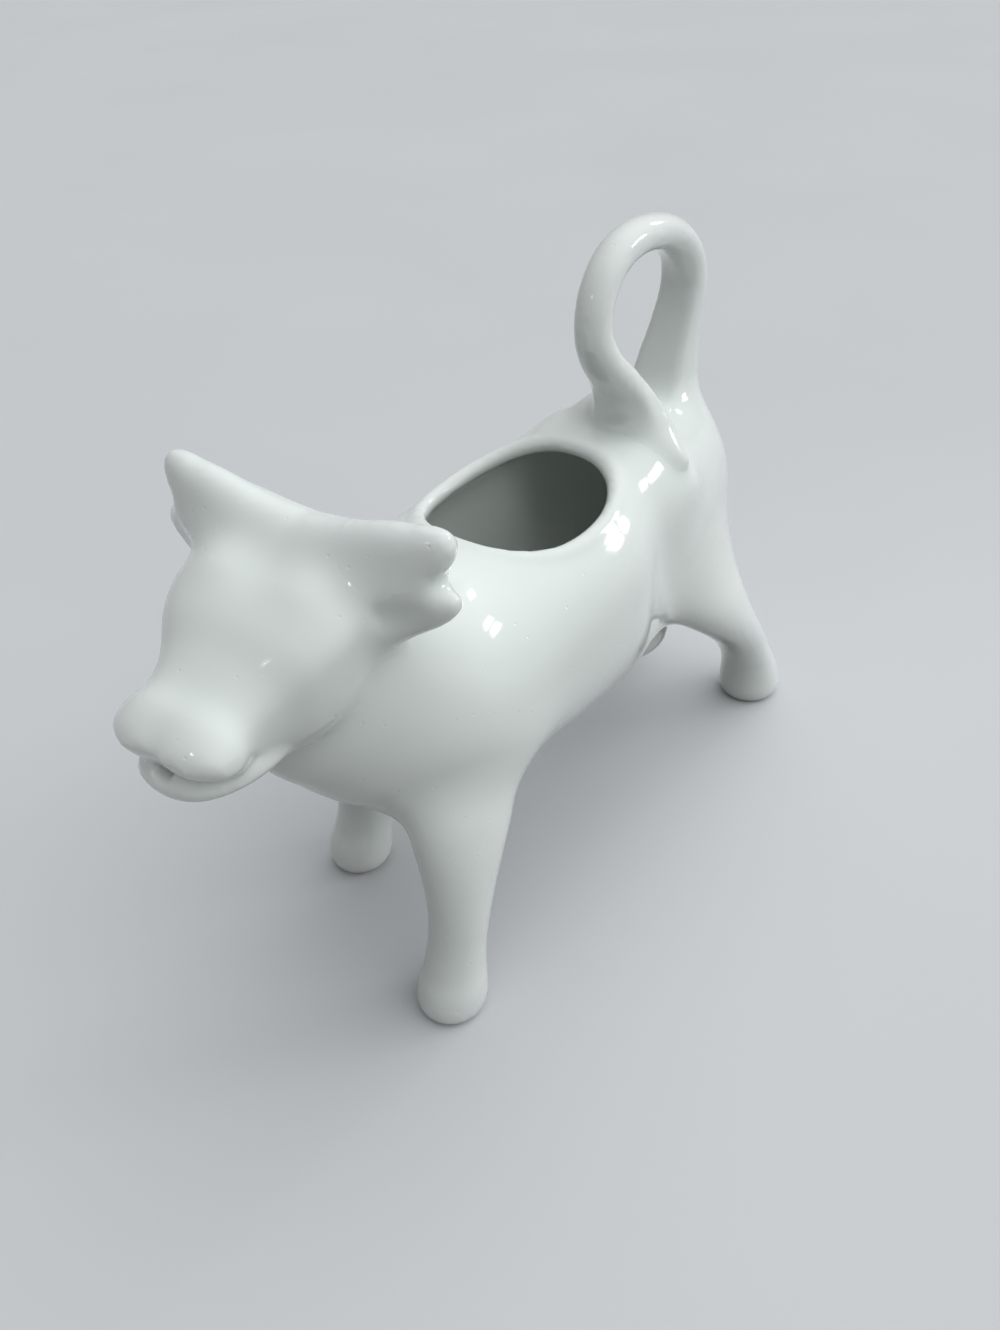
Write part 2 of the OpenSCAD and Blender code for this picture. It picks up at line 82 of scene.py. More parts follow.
# legs, from the sole up: z, x, y, half length, half width
FRONT_LEFT_LEG = [
    (0.0, 43.0, 19.8, 5.2, 5.2), (0.9, 43.0, 19.8, 6.3, 6.2), (3.0, 42.8, 19.8, 6.9, 6.6),
    (6.5, 42.2, 19.8, 6.6, 6.4), (10.5, 41.2, 19.8, 5.9, 5.8), (16.0, 40.0, 19.8, 5.5, 5.5),
    (22.0, 38.6, 19.6, 5.9, 5.7), (28.0, 36.9, 19.0, 7.2, 6.2), (33.5, 35.0, 18.2, 9.0, 6.8),
    (39.0, 33.0, 17.2, 11.0, 7.3), (45.0, 31.2, 15.8, 12.4, 7.6), (51.0, 29.8, 13.8, 12.2, 7.2),
    (57.0, 28.8, 11.0, 10.4, 6.2), (63.0, 28.2, 8.0, 7.4, 4.4)]
FRONT_RIGHT_LEG = [
    (0.0, 26.8, -20.2, 5.2, 5.2), (0.9, 26.8, -20.2, 6.3, 6.2), (3.0, 26.6, -20.2, 6.9, 6.6),
    (6.5, 25.8, -20.2, 6.6, 6.4), (10.5, 24.6, -20.2, 5.9, 5.8), (16.0, 23.6, -20.0, 5.5, 5.5),
    (22.0, 23.4, -19.8, 5.9, 5.7), (28.0, 24.0, -19.0, 7.2, 6.2), (33.5, 25.2, -18.2, 9.0, 6.8),
    (39.0, 26.6, -17.2, 11.0, 7.3), (45.0, 27.6, -15.8, 12.4, 7.6), (51.0, 28.0, -13.8, 12.2, 7.2),
    (57.0, 28.2, -11.0, 10.4, 6.2), (63.0, 28.2, -8.0, 7.4, 4.4)]
REAR_LEG = [
    (0.0, -72.6, 19.1, 5.9, 5.7), (0.9, -72.6, 19.1, 7.0, 6.8), (3.2, -72.4, 19.1, 7.5, 7.2),
    (7.0, -71.9, 19.0, 7.1, 6.9), (11.5, -70.4, 18.9, 6.4, 6.3), (16.5, -67.8, 18.7, 6.2, 6.0),
    (22.0, -64.2, 18.4, 6.8, 6.2), (27.5, -59.8, 17.8, 8.0, 6.6), (33.0, -55.6, 16.8, 9.8, 7.0),
    (38.5, -52.4, 15.4, 11.4, 7.2), (44.0, -50.6, 13.6, 12.4, 7.0), (50.0, -49.8, 11.4, 12.0, 6.4),
    (56.0, -49.8, 8.8, 10.0, 5.4), (62.0, -50.2, 6.0, 6.8, 3.8)]
# horns and poll, and ears, from the middle out: |y|, x, z, half length, half height
HORN = [
    (0.0, 43.0, 90.8, 4.4, 6.7), (5.4, 43.0, 91.8, 4.5, 7.2), (10.5, 43.1, 93.3, 4.7, 7.6),
    (14.4, 43.1, 94.8, 4.6, 7.3), (17.4, 43.0, 96.1, 4.3, 6.6), (19.9, 42.9, 97.3, 3.9, 5.7),
    (22.2, 42.7, 98.6, 3.4, 4.8), (24.1, 42.5, 99.6, 2.9, 3.9), (25.6, 42.4, 100.3, 2.3, 3.0),
    (26.5, 42.3, 100.7, 1.6, 1.9), (27.0, 42.3, 100.9, .5, .5)]
EAR = [
    (9.0, 45.2, 85.2, 4.4, 7.0), (13.6, 44.8, 87.4, 4.2, 6.5), (17.0, 44.5, 89.1, 3.8, 5.6),
    (20.6, 44.1, 90.7, 3.3, 4.8), (24.0, 43.7, 91.9, 2.7, 3.9), (26.0, 43.4, 92.5, 2.1, 3.0),
    (27.4, 43.1, 92.9, 1.4, 1.8), (28.0, 43.0, 93.0, .4, .5)]
# ropes of clay: x, y, z, half thickness, half width
TAIL = [
    (-56.0, -1.0, 66.0, 10.5, 6.6), (-57.6, -1.6, 73.0, 9.6, 7.0), (-59.2, -2.0, 79.6, 8.4, 6.9),
    (-60.6, -1.9, 86.0, 7.1, 6.1), (-62.0, -1.5, 92.0, 5.8, 5.3), (-63.3, -1.1, 97.6, 4.9, 4.9),
    (-63.9, -1.0, 102.2, 4.3, 4.8), (-62.8, -.9, 106.8, 3.9, 4.6), (-59.0, -.6, 111.0, 3.6, 4.4),
    (-53.6, 0.0, 113.9, 3.4, 4.2), (-47.8, 0.5, 115.4, 3.3, 4.0), (-42.0, 1.0, 115.9, 3.3, 3.8),
    (-36.0, 1.4, 115.0, 3.3, 3.7), (-31.0, 1.9, 112.2, 3.3, 3.6), (-27.9, 2.3, 108.0, 3.3, 3.6),
    (-26.9, 2.8, 103.0, 3.4, 3.7), (-28.3, 3.4, 98.4, 3.4, 4.3), (-31.2, 4.0, 94.2, 3.4, 4.9),
    (-34.0, 4.8, 90.2, 2.8, 5.1), (-35.6, 6.6, 85.8, 1.8, 4.2), (-36.6, 8.6, 81.6, 1.2, 2.4)]
# with the side the strap of the tuft is broad to
TUFT = [
    (-28.6, 3.4, 98.2, 2.2, 2.8, -.10, .97, .05), (-31.4, 3.9, 94.4, 2.8, 4.4, -.25, .93, .20),
    (-33.8, 4.3, 90.2, 2.9, 5.5, -.40, .86, .32), (-34.9, 6.2, 85.6, 2.7, 6.2, -.53, .72, .46),
    (-35.3, 9.9, 82.4, 2.4, 5.6, -.72, .60, .34), (-36.0, 12.9, 80.2, 2.0, 4.6, -.85, .30, .32),
    (-37.4, 15.3, 78.2, 1.5, 3.0, -.90, .10, .30), (-38.9, 17.0, 76.8, .6, .8, -.90, .10, .30)]
# udder: centre and half sizes
UDDER = (-44.6, 0.0, 28.2), (10.0, 9.6, 7.4)
# pour channel inside the head: x, z, half length, half width, half height
CHANNEL = [
    (44.0, 80.0, 10.9, 10.5, 10.5), (48.5, 80.5, 10.4, 10.0, 10.0), (53.0, 80.4, 9.2, 8.8, 8.8),
    (57.0, 79.7, 8.2, 7.8, 7.8), (61.0, 78.9, 6.6, 6.3, 6.2), (64.5, 77.8, 5.1, 5.2, 4.7),
    (67.5, 77.0, 3.7, 4.1, 3.3), (70.5, 76.4, 2.4, 2.8, 2.0), (73.5, 76.2, 1.5, 1.7, 1.1),
    (79.5, 75.8, 1.4, 1.6, 1.0)]
# muscles pressed into the trunk: along, up, half length, half height (shares), lean, amount in mm
MUSCLES = [(.17, .54, .090, .24, 0, 2.1), (.78, .62, .10, .26, 0, 2.2), (.345, .76, .062, .26, .17, -2.6)]
# thumb marks on both sides of the middle plane: centre, half sizes, amount in mm, inwards below zero
FACE_THUMBS = [
    ((51.7, 8.4, 94.0), (4.5, 4.5, 4.0), 0.8),        # brows
    ((52.2, 0.0, 97.0), (5.0, 4.0, 4.0), -0.5),       # dish of the forehead
    ((72.0, 6.0, 81.5), (4.5, 4.0, 4.0), 0.5),        # nostril pads
    ((77.5, 0.0, 80.0), (3.0, 2.0, 4.0), -0.35)]      # dip between them
CROUP_THUMB = (-36.0, 11.5, 81.5), (7.0, 5.0, 5.0), 1.2
BODY_THUMBS = [
    ((-50.0, 13.5, 31.5), (6.0, 4.0, 4.0), 1.0),      # inside of the thigh
    ((-67.5, 13.5, 38.0), (4.5, 5.0, 3.0), -0.9),     # crease over the hock
    ((-40.0, 17.5, 72.5), (4.5, 4.5, 5.0), 0.9),      # point of the hip
    ((42.0, 9.5, 40.5), (5.0, 5.0, 6.0), 1.3),        # brisket
    ((22.0, 21.5, 49.0), (8.0, 6.0, 8.0), 1.0)]       # shoulders
# eggs of clay banked up on the back: centre, half sizes, fillet
BANKS = [((-39.2, -2.5, 82.3), (6.5, 5.5, 4.6), 4.0),    # against the tail
         ((-36.0, 3.0, 83.6), (4.2, 5.5, 4.8), 2.5)]     # under the tuft
# eggs carved out on both sides: centre and half sizes
EAR_SCOOP = (49.1, 19.0, 91.4), (2.6, 6.5, 3.4)
HORN_NOTCH = (43.6, 29.0, 95.8), (5.0, 4.0, 1.5)
# legs: rows, the two corners of the clay round each, and its fillet
LEGS = {
    "front_left_leg": (FRONT_LEFT_LEG, (8, 3, -3), (58, 33, 68), 5.5),
    "front_right_leg": (FRONT_RIGHT_LEG, (5, -33, -3), (52, -3, 68), 5.5),
    "rear_left_leg": (REAR_LEG, (-81, 2, -3), (-28, 33, 68), 7.0),
    "rear_right_leg": ([(z, x, -y, a, b) for z, x, y, a, b in REAR_LEG], (-81, -33, -3), (-28, -2, 68), 7.0)}


# ---------- the clay: distances on a grid ----------

def finer(rows, steps):
    """More rows along the smooth line through the given ones."""
    rows = np.array(rows, float)
    last = len(rows) - 1
    out = []
    for i in range(last):
        a, b, c, d = rows[max(i - 1, 0)], rows[i], rows[i + 1], rows[min(i + 2, last)]
        for t in np.arange(steps) / steps:
            bend = 2 * a - 5 * b + 4 * c - d
            out.append(b + t * ((c - a) + t * (bend + t * (3 * (b - c) + d - a))) / 2)
    return np.array(out + [rows[last]])


def melt(a, b, r):
    """Two forms luted together, with the joint wiped to a fillet of about r."""
    h = np.maximum(r - np.abs(a - b), 0) / r
    return np.minimum(a, b) - h * h * (r / 4)


def carve(a, b, r):
    """Form a with form b cut out of it, the edge softened by about r."""
    h = np.maximum(r - np.abs(a + b), 0) / r
    return np.maximum(a, -b) + h * h * (r / 4)


class Block:
    """The block of clay: a grid of points in the part's frame, mm."""

    def __init__(self, low, high, grain):
        self.low = np.array(low, float)
        self.grain = grain
        self.count = np.ceil((np.array(high) - self.low) / grain).astype(int) + 1
        self.axes = [self.low[a] + grain * np.arange(self.count[a]) for a in range(3)]

    def window(self, low, high):
        """The grid between two corners: its place, and x (as in the tables), y and z."""
        cut = []
        for a, off in enumerate((FORWARD, 0, 0)):
            i0 = max(int((low[a] + off - self.low[a]) / self.grain), 0)
            i1 = min(int((high[a] + off - self.low[a]) / self.grain) + 2, self.count[a])
            cut.append(slice(i0, i1))
        x, y, z = (self.axes[a][cut[a]].astype(np.float32) for a in range(3))
        return tuple(cut), x[:, None, None] - np.float32(FORWARD), y[None, :, None], z[None, None, :]


def evened(g, least=0.012):
    """A field read as a distance: its steepness evened out to 1."""
    gx, gy, gz = np.gradient(g, GRAIN)
    return (g / np.maximum(np.sqrt(gx * gx + gy * gy + gz * gz), least)).astype(np.float32)


def body_form(rows, x, y, z, muscles=()):
    """A rounded body whose sections stand across the middle plane. Gives its distance and the row."""
    between = 12
    rows = finer(rows, between)
    low, top = rows[:, 2:4], rows[:, 0:2]
    up = top - low
    tall = np.linalg.norm(up, axis=1)
    up = up / tall[:, None]
    ahead = np.stack([up[:, 1], -up[:, 0]], 1)
    px, pz = np.broadcast_arrays(x[:, 0, :], z[0, 0][None, :])
    s = (px[None] - low[:, 0, None, None]) * ahead[:, 0, None, None] \
        + (pz[None] - low[:, 1, None, None]) * ahead[:, 1, None, None]
    before = s >= 0
    k = np.argmin(before, axis=0) - 1
    k[before.all(axis=0)] = len(rows) - 2
    k = np.clip(k, 0, len(rows) - 2)
    s0 = np.take_along_axis(s, k[None], 0)[0]
    s1 = np.take_along_axis(s, k[None] + 1, 0)[0]
    t = np.clip(s0 / np.where(np.abs(s0 - s1) < 1e-6, 1, s0 - s1), 0, 1)

    def at(col):
        return col[k] * (1 - t) + col[k + 1] * t
    wide, full = at(rows[:, 5]), at(rows[:, 6])
    ux, uz = at(up[:, 0]), at(up[:, 1])
    tl, half = at(tall), at(rows[:, 4])
    v = (px - at(low[:, 0]) - ux * tl * wide) * ux + (pz - at(low[:, 1]) - uz * tl * wide) * uz
    w = np.where(v > 0, v / (tl * (1 - wide)), -v / (tl * wide))
    for along, height, length, span, lean, amount in muscles:
        b = (pz - height * BACK_HEIGHT) / (span * BACK_HEIGHT)
        shift = RUMP_X + along * TRUNK_LENGTH + lean * b * span * BACK_HEIGHT
        a = (px - shift) / (length * TRUNK_LENGTH)
        half = half + amount * np.exp(-a * a - b * b)
    u = np.maximum(np.abs(y) / half[:, None, :], 1e-4).astype(np.float32)
    full3 = full[:, None, :].astype(np.float32)
    wp = (np.maximum(w, 1e-4) ** full)[:, None, :].astype(np.float32)
    g = (u ** full3 + wp) ** (1 / full3) - 1
    d = evened(g)
    radial = np.sqrt(y * y + (v * v)[:, None, :]) * (1 - 1 / (g + 1))
    d = np.where(g > 0, np.maximum(d, 0.4 * radial), d)
    d = np.maximum(d, -s[0][:, None, :])
    d = np.maximum(d, s[-1][:, None, :])
    return d.astype(np.float32), ((k + t) / between)[:, None, :].astype(np.float32)


def limb_form(rows, run, a, b):
    """A limb whose round sections lie across one axis; run is the coordinate along it.
    Gives its distance and where it begins and ends."""
    r = finer(rows, 8)
    ca, cb, ha, hb = (np.interp(run, r[:, 0], r[:, i]).astype(np.float32) for i in range(1, 5))
    q = np.sqrt(((a - ca) / ha) ** 2 + ((b - cb) / hb) ** 2)
    reach = np.sqrt((a - ca) ** 2 + (b - cb) ** 2)
    d = np.where(q < 1e-3, -np.minimum(ha, hb), reach - reach / np.maximum(q, 1e-3))
    return d.astype(np.float32), r[0, 0], r[-1, 0]


def egg(x, y, z, centre, half):
    """An egg of clay, or of nothing where it is carved out."""
    k0 = np.sqrt(sum(((p - c) / h) ** 2 for p, c, h in zip((x, y, z), centre, half)))
    k1 = np.sqrt(sum(((p - c) / h ** 2) ** 2 for p, c, h in zip((x, y, z), centre, half)))
    return (k0 * (k0 - 1) / np.maximum(k1, 1e-3)).astype(np.float32)


def turned_back(x, y):
    """Where points would lie if the head looked straight ahead."""
    turn = math.radians(HEAD_TURN)
    c, s = math.cos(turn), math.sin(turn)
    ahead, aside = (x - TURN_X) * c + y * s + TURN_X, y * c - (x - TURN_X) * s
    return ahead.astype(np.float32), aside.astype(np.float32)


def turned_form(rows, x, y, z):
    """A rounded body that is turned with the head: made straight, then read at the turned-back points."""
    ax, ay = np.arange(24, 86, GRAIN), np.arange(-30, 30 + GRAIN, GRAIN)
    straight_x, straight_y = ax.astype(np.float32)[:, None, None], ay.astype(np.float32)[None, :, None]
    straight, _ = body_form(rows, straight_x, straight_y, z)
    tx, ty = turned_back(x, y)

    def weights(place, count):
        place = np.clip(place, 1, count - 2.001)
        i = np.floor(place).astype(int)
        f = (place - i).astype(np.float32)
        return i, ((2 * f * f - f - f ** 3) / 2, (3 * f ** 3 - 5 * f * f + 2) / 2,
                   (4 * f * f - 3 * f ** 3 + f) / 2, (f ** 3 - f * f) / 2)
    i, wi = weights((tx[:, :, 0] - ax[0]) / GRAIN, len(ax))
    j, wj = weights((ty[:, :, 0] - ay[0]) / GRAIN, len(ay))
    total = 0
    for a in range(4):
        for b in range(4):
            total = total + (wi[a] * wj[b])[:, :, None] * straight[i + a - 1, j + b - 1]
    return total.astype(np.float32)


def thumb(field, xyz, centre, half, amount):
    """Presses the skin out, or in below zero, round a point on both sides of the middle plane."""
    x, y, z = xyz
    q = ((x - centre[0]) / half[0]) ** 2 + ((np.abs(y) - centre[1]) / half[1]) ** 2 \
        + ((z - centre[2]) / half[2]) ** 2
    field -= (amount * np.exp(-q)).astype(np.float32)


def chain(rows, steps, x, y, z, fillet):
    """Eggs along the middle plane, melted one into the next: x, z and the three half sizes of each."""
    form = None
    for r in finer(rows, steps):
        d = egg(x, y, z, (r[0], 0, r[1]), r[2:5])
        form = d if form is None else melt(form, d, fillet)
    return form


# ---------- putting node trees together ----------

class Bench:
    """Where the nodes of a tree are placed and joined."""

    def __init__(self, tree):
        self.tree = tree

    def add(self, kind, feeds=(), **settings):
        """A new node with its settings, and what feeds its inputs."""
        node = self.tree.nodes.new(kind)
        for key, value in settings.items():
            setattr(node, key, value)
        return self.feed(node, dict(feeds))

    def feed(self, node, feeds):
        """Gives a node's inputs their plain values, or joins them to other nodes' outputs."""
        for key, value in feeds.items():
            if isinstance(value, bpy.types.NodeSocket):
                self.tree.links.new(value, node.inputs[key])
            else:
                node.inputs[key].default_value = value
        return node

    def number(self, operation, first, second):
        """One step of arithmetic on two numbers."""
        return self.add("ShaderNodeMath", {0: first, 1: second}, operation=operation).outputs[0]

    def vector(self, operation, first, second):
        """One step of arithmetic on vectors, or on a vector and a number."""
        key = "Scale" if operation == "SCALE" else 1
        node = self.add("ShaderNodeVectorMath", {0: first, key: second}, operation=operation)
        return node.outputs["Value" if operation == "DOT_PRODUCT" else "Vector"]

    def mixed(self, share, low, high):
        """A colour between two."""
        return self.add("ShaderNodeMix", {0: share, 6: low, 7: high}, data_type="RGBA").outputs[2]

    def open_view(self):
        """1 for what is seen straight, in a gloss or through glass, and 0 for light on its way."""
        path = self.add("ShaderNodeLightPath").outputs
        straight = self.number("MAXIMUM", path["Is Camera Ray"], path["Is Glossy Ray"])
        return self.number("MAXIMUM", straight, path["Is Transmission Ray"])

    def finish_shape(self, shape, material, name):
        """The end that every shape tree has: real geometry with its material on."""
        whole = self.add("GeometryNodeRealizeInstances", {"Geometry": shape})
        coat = self.add("GeometryNodeSetMaterial", {"Geometry": whole.outputs[0], "Material": material})
        self.add("NodeGroupOutput", {name: coat.outputs["Geometry"]})


def group(name, kind, inputs, outputs):
    """A node group with named inputs (name, kind, usual value) and outputs; also gives its inputs."""
    tree = bpy.data.node_groups.new(name, kind)
    for way, rows in (("INPUT", inputs), ("OUTPUT", outputs)):
        for label, socket, *usual in rows:
            made = tree.interface.new_socket(label, in_out=way, socket_type="NodeSocket" + socket)
            if usual:
                made.default_value = usual[0]
    bench = Bench(tree)
    return bench, bench.add("NodeGroupInput").outputs


# ---------- ropes of clay, rolled by Geometry Nodes along a path ----------

def mesh_from(name, points, sizes, loops):
    """A mesh from arrays: points, how many corners each face has, and all the corners in a row."""
    mesh = bpy.data.meshes.new(name)
    mesh.vertices.add(len(points))
    mesh.vertices.foreach_set("co", np.ascontiguousarray(points, np.float32).ravel())
    mesh.loops.add(len(loops))
    mesh.loops.foreach_set("vertex_index", np.ascontiguousarray(loops, np.int32))
    mesh.polygons.add(len(sizes))
    starts = np.concatenate([[0], np.cumsum(sizes)[:-1]]).astype(np.int32)
    mesh.polygons.foreach_set("loop_start", starts)
    mesh.update(calc_edges=True)
    return mesh


def rope_tree():
    """Rolls a rope of clay along a path whose points hold its half thickness, half width and side.
    Pinch draws its two broad edges out thin, as a strap's are."""
    bench, given = group("rope_of_clay", "GeometryNodeTree",
                         [("Path", "Geometry"), ("Sides", "Int", 40), ("Pinch", "Float", 0.0),
                          ("Material", "Material")], [("Rope", "Geometry")])
    add, number, vector = bench.add, bench.number, bench.vector

    def named(name, kind="FLOAT"):
        return add("GeometryNodeInputNamedAttribute", {"Name": name}, data_type=kind).outputs["Attribute"]
    thick, wide, side = named("thick"), named("wide"), named("side", "FLOAT_VECTOR")
    place = add("GeometryNodeInputPosition").outputs["Position"]
    curve = add("GeometryNodeMeshToCurve", {"Mesh": given["Path"]})
    keep = add("GeometryNodeCaptureAttribute", domain="POINT")
    keep.capture_items.new("VECTOR", "centre")
    bench.feed(keep, {"Geometry": curve.outputs["Curve"], 1: place})
    ring = add("GeometryNodeCurvePrimitiveCircle", {"Resolution": given["Sides"], "Radius": 1.0},
               mode="RADIUS")
    roll = add("GeometryNodeCurveToMesh", {
        "Curve": keep.outputs["Geometry"], "Profile Curve": ring.outputs["Curve"], "Scale": thick,
        "Fill Caps": True})
    # each ring is widened across the path to its half width, and thinned towards its two broad edges
    out = vector("SUBTRACT", place, keep.outputs[1])
    across = vector("DOT_PRODUCT", out, side)
    extra = number("SUBTRACT", number("DIVIDE", wide, thick), 1.0)
    widen = vector("SCALE", side, number("MULTIPLY", across, extra))
    share = number("DIVIDE", across, thick)
    grip = number("MULTIPLY", number("MULTIPLY", share, share), given["Pinch"])
    thin = vector("SCALE", vector("SUBTRACT", out, vector("SCALE", side, across)), grip)
    rolled = add("GeometryNodeSetPosition", {
        "Geometry": roll.outputs["Mesh"], "Offset": vector("SUBTRACT", widen, thin)})
    bench.finish_shape(rolled.outputs["Geometry"], given["Material"], "Rope")
    return bench.tree


def settle_tree():
    """The glaze coat evens out the last small steps of the clay under it."""
    bench, given = group("settle_glaze", "GeometryNodeTree",
                         [("Clay", "Geometry"), ("Passes", "Int", 2), ("Pull", "Float", 0.5),
                          ("Material", "Material")], [("Glazed", "Geometry")])
    place = bench.add("GeometryNodeInputPosition").outputs["Position"]
    even = bench.add("GeometryNodeBlurAttribute", {
        "Value": place, "Iterations": given["Passes"], "Weight": given["Pull"]}, data_type="FLOAT_VECTOR")
    move = bench.add("GeometryNodeSetPosition", {
        "Geometry": given["Clay"], "Position": even.outputs["Value"]})
    bench.finish_shape(move.outputs["Geometry"], given["Material"], "Glazed")
    return bench.tree


def grown(mesh, tree, **values):
    """The plain mesh that a tree makes of a mesh: its points, and its faces as lists."""
    carrier = bpy.data.objects.new("carrier", mesh)
    bpy.context.scene.collection.objects.link(carrier)
    modifier = carrier.modifiers.new("work", "NODES")
    modifier.node_group = tree
    for item in tree.interface.items_tree:
        if item.item_type == "SOCKET" and item.in_out == "INPUT" and item.name in values:
            modifier[item.identifier] = values[item.name]
    ready = carrier.evaluated_get(bpy.context.evaluated_depsgraph_get())
    result = bpy.data.meshes.new_from_object(ready)
    points = np.empty(len(result.vertices) * 3, np.float32)
    result.vertices.foreach_get("co", points)
    faces = [tuple(p.vertices) for p in result.polygons]
    bpy.data.objects.remove(carrier)
    bpy.data.meshes.remove(result)
    return points.reshape(-1, 3).astype(float), faces


def rope(name, rows, tree, side=None, closed=False, pinch=0.0):
    """Rolls a rope along rows of x, y, z, half thickness, half width, and gives its search tree."""
    r = np.array(rows, float) if closed else finer(rows, 4)
    if closed:
        along = np.roll(r[:, :3], -1, 0) - np.roll(r[:, :3], 1, 0)
    else:
        along = np.gradient(r[:, :3], axis=0)
    along = along / np.linalg.norm(along, axis=1)[:, None]
    side = r[:, 5:8] if side is None else np.broadcast_to(np.array(side, float), along.shape)
    side = side - along * (side * along).sum(1)[:, None]
    side = side / np.linalg.norm(side, axis=1)[:, None]
    mesh = bpy.data.meshes.new(name)
    last = len(r) if closed else len(r) - 1
    mesh.from_pydata(r[:, :3].tolist(), [(i, (i + 1) % len(r)) for i in range(last)], [])
    for key, kind, data in (("thick", "FLOAT", r[:, 3]), ("wide", "FLOAT", r[:, 4]),
                            ("side", "FLOAT_VECTOR", side.ravel())):
        mesh.attributes.new(key, kind, "POINT").data.foreach_set(
            "vector" if kind == "FLOAT_VECTOR" else "value", data.astype(np.float32))
    points, faces = grown(mesh, tree, Sides=40, Pinch=pinch)
    return r, BVHTree.FromPolygons(points.tolist(), faces)


def rope_distance(r, search, x, y, z, band=6.0):
    """Distance to a rolled rope: exact near it, rough further off."""
    shape = np.broadcast_shapes(x.shape, y.shape, z.shape)
    rough = np.full(shape, FAR, np.float32)
    for p in r:
        reach = np.sqrt((x - p[0]) ** 2 + (y - p[1]) ** 2 + (z - p[2]) ** 2) - max(p[3], p[4])
        rough = np.minimum(rough, reach)
    near = np.argwhere(rough < band)
    xs, ys, zs = (np.broadcast_to(c, shape)[tuple(near.T)] for c in (x, y, z))
    exact = np.empty(len(near), np.float32)
    find = search.find_nearest
    for i, p in enumerate(zip(xs.tolist(), ys.tolist(), zs.tolist())):
        spot, normal, _, gap = find(p)
        ahead = (p[0] - spot[0]) * normal[0] + (p[1] - spot[1]) * normal[1] + (p[2] - spot[2]) * normal[2]
        exact[i] = -gap if ahead < -0.5 * gap else gap
    rough[tuple(near.T)] = exact
    return rough


# ---------- working the jug ----------

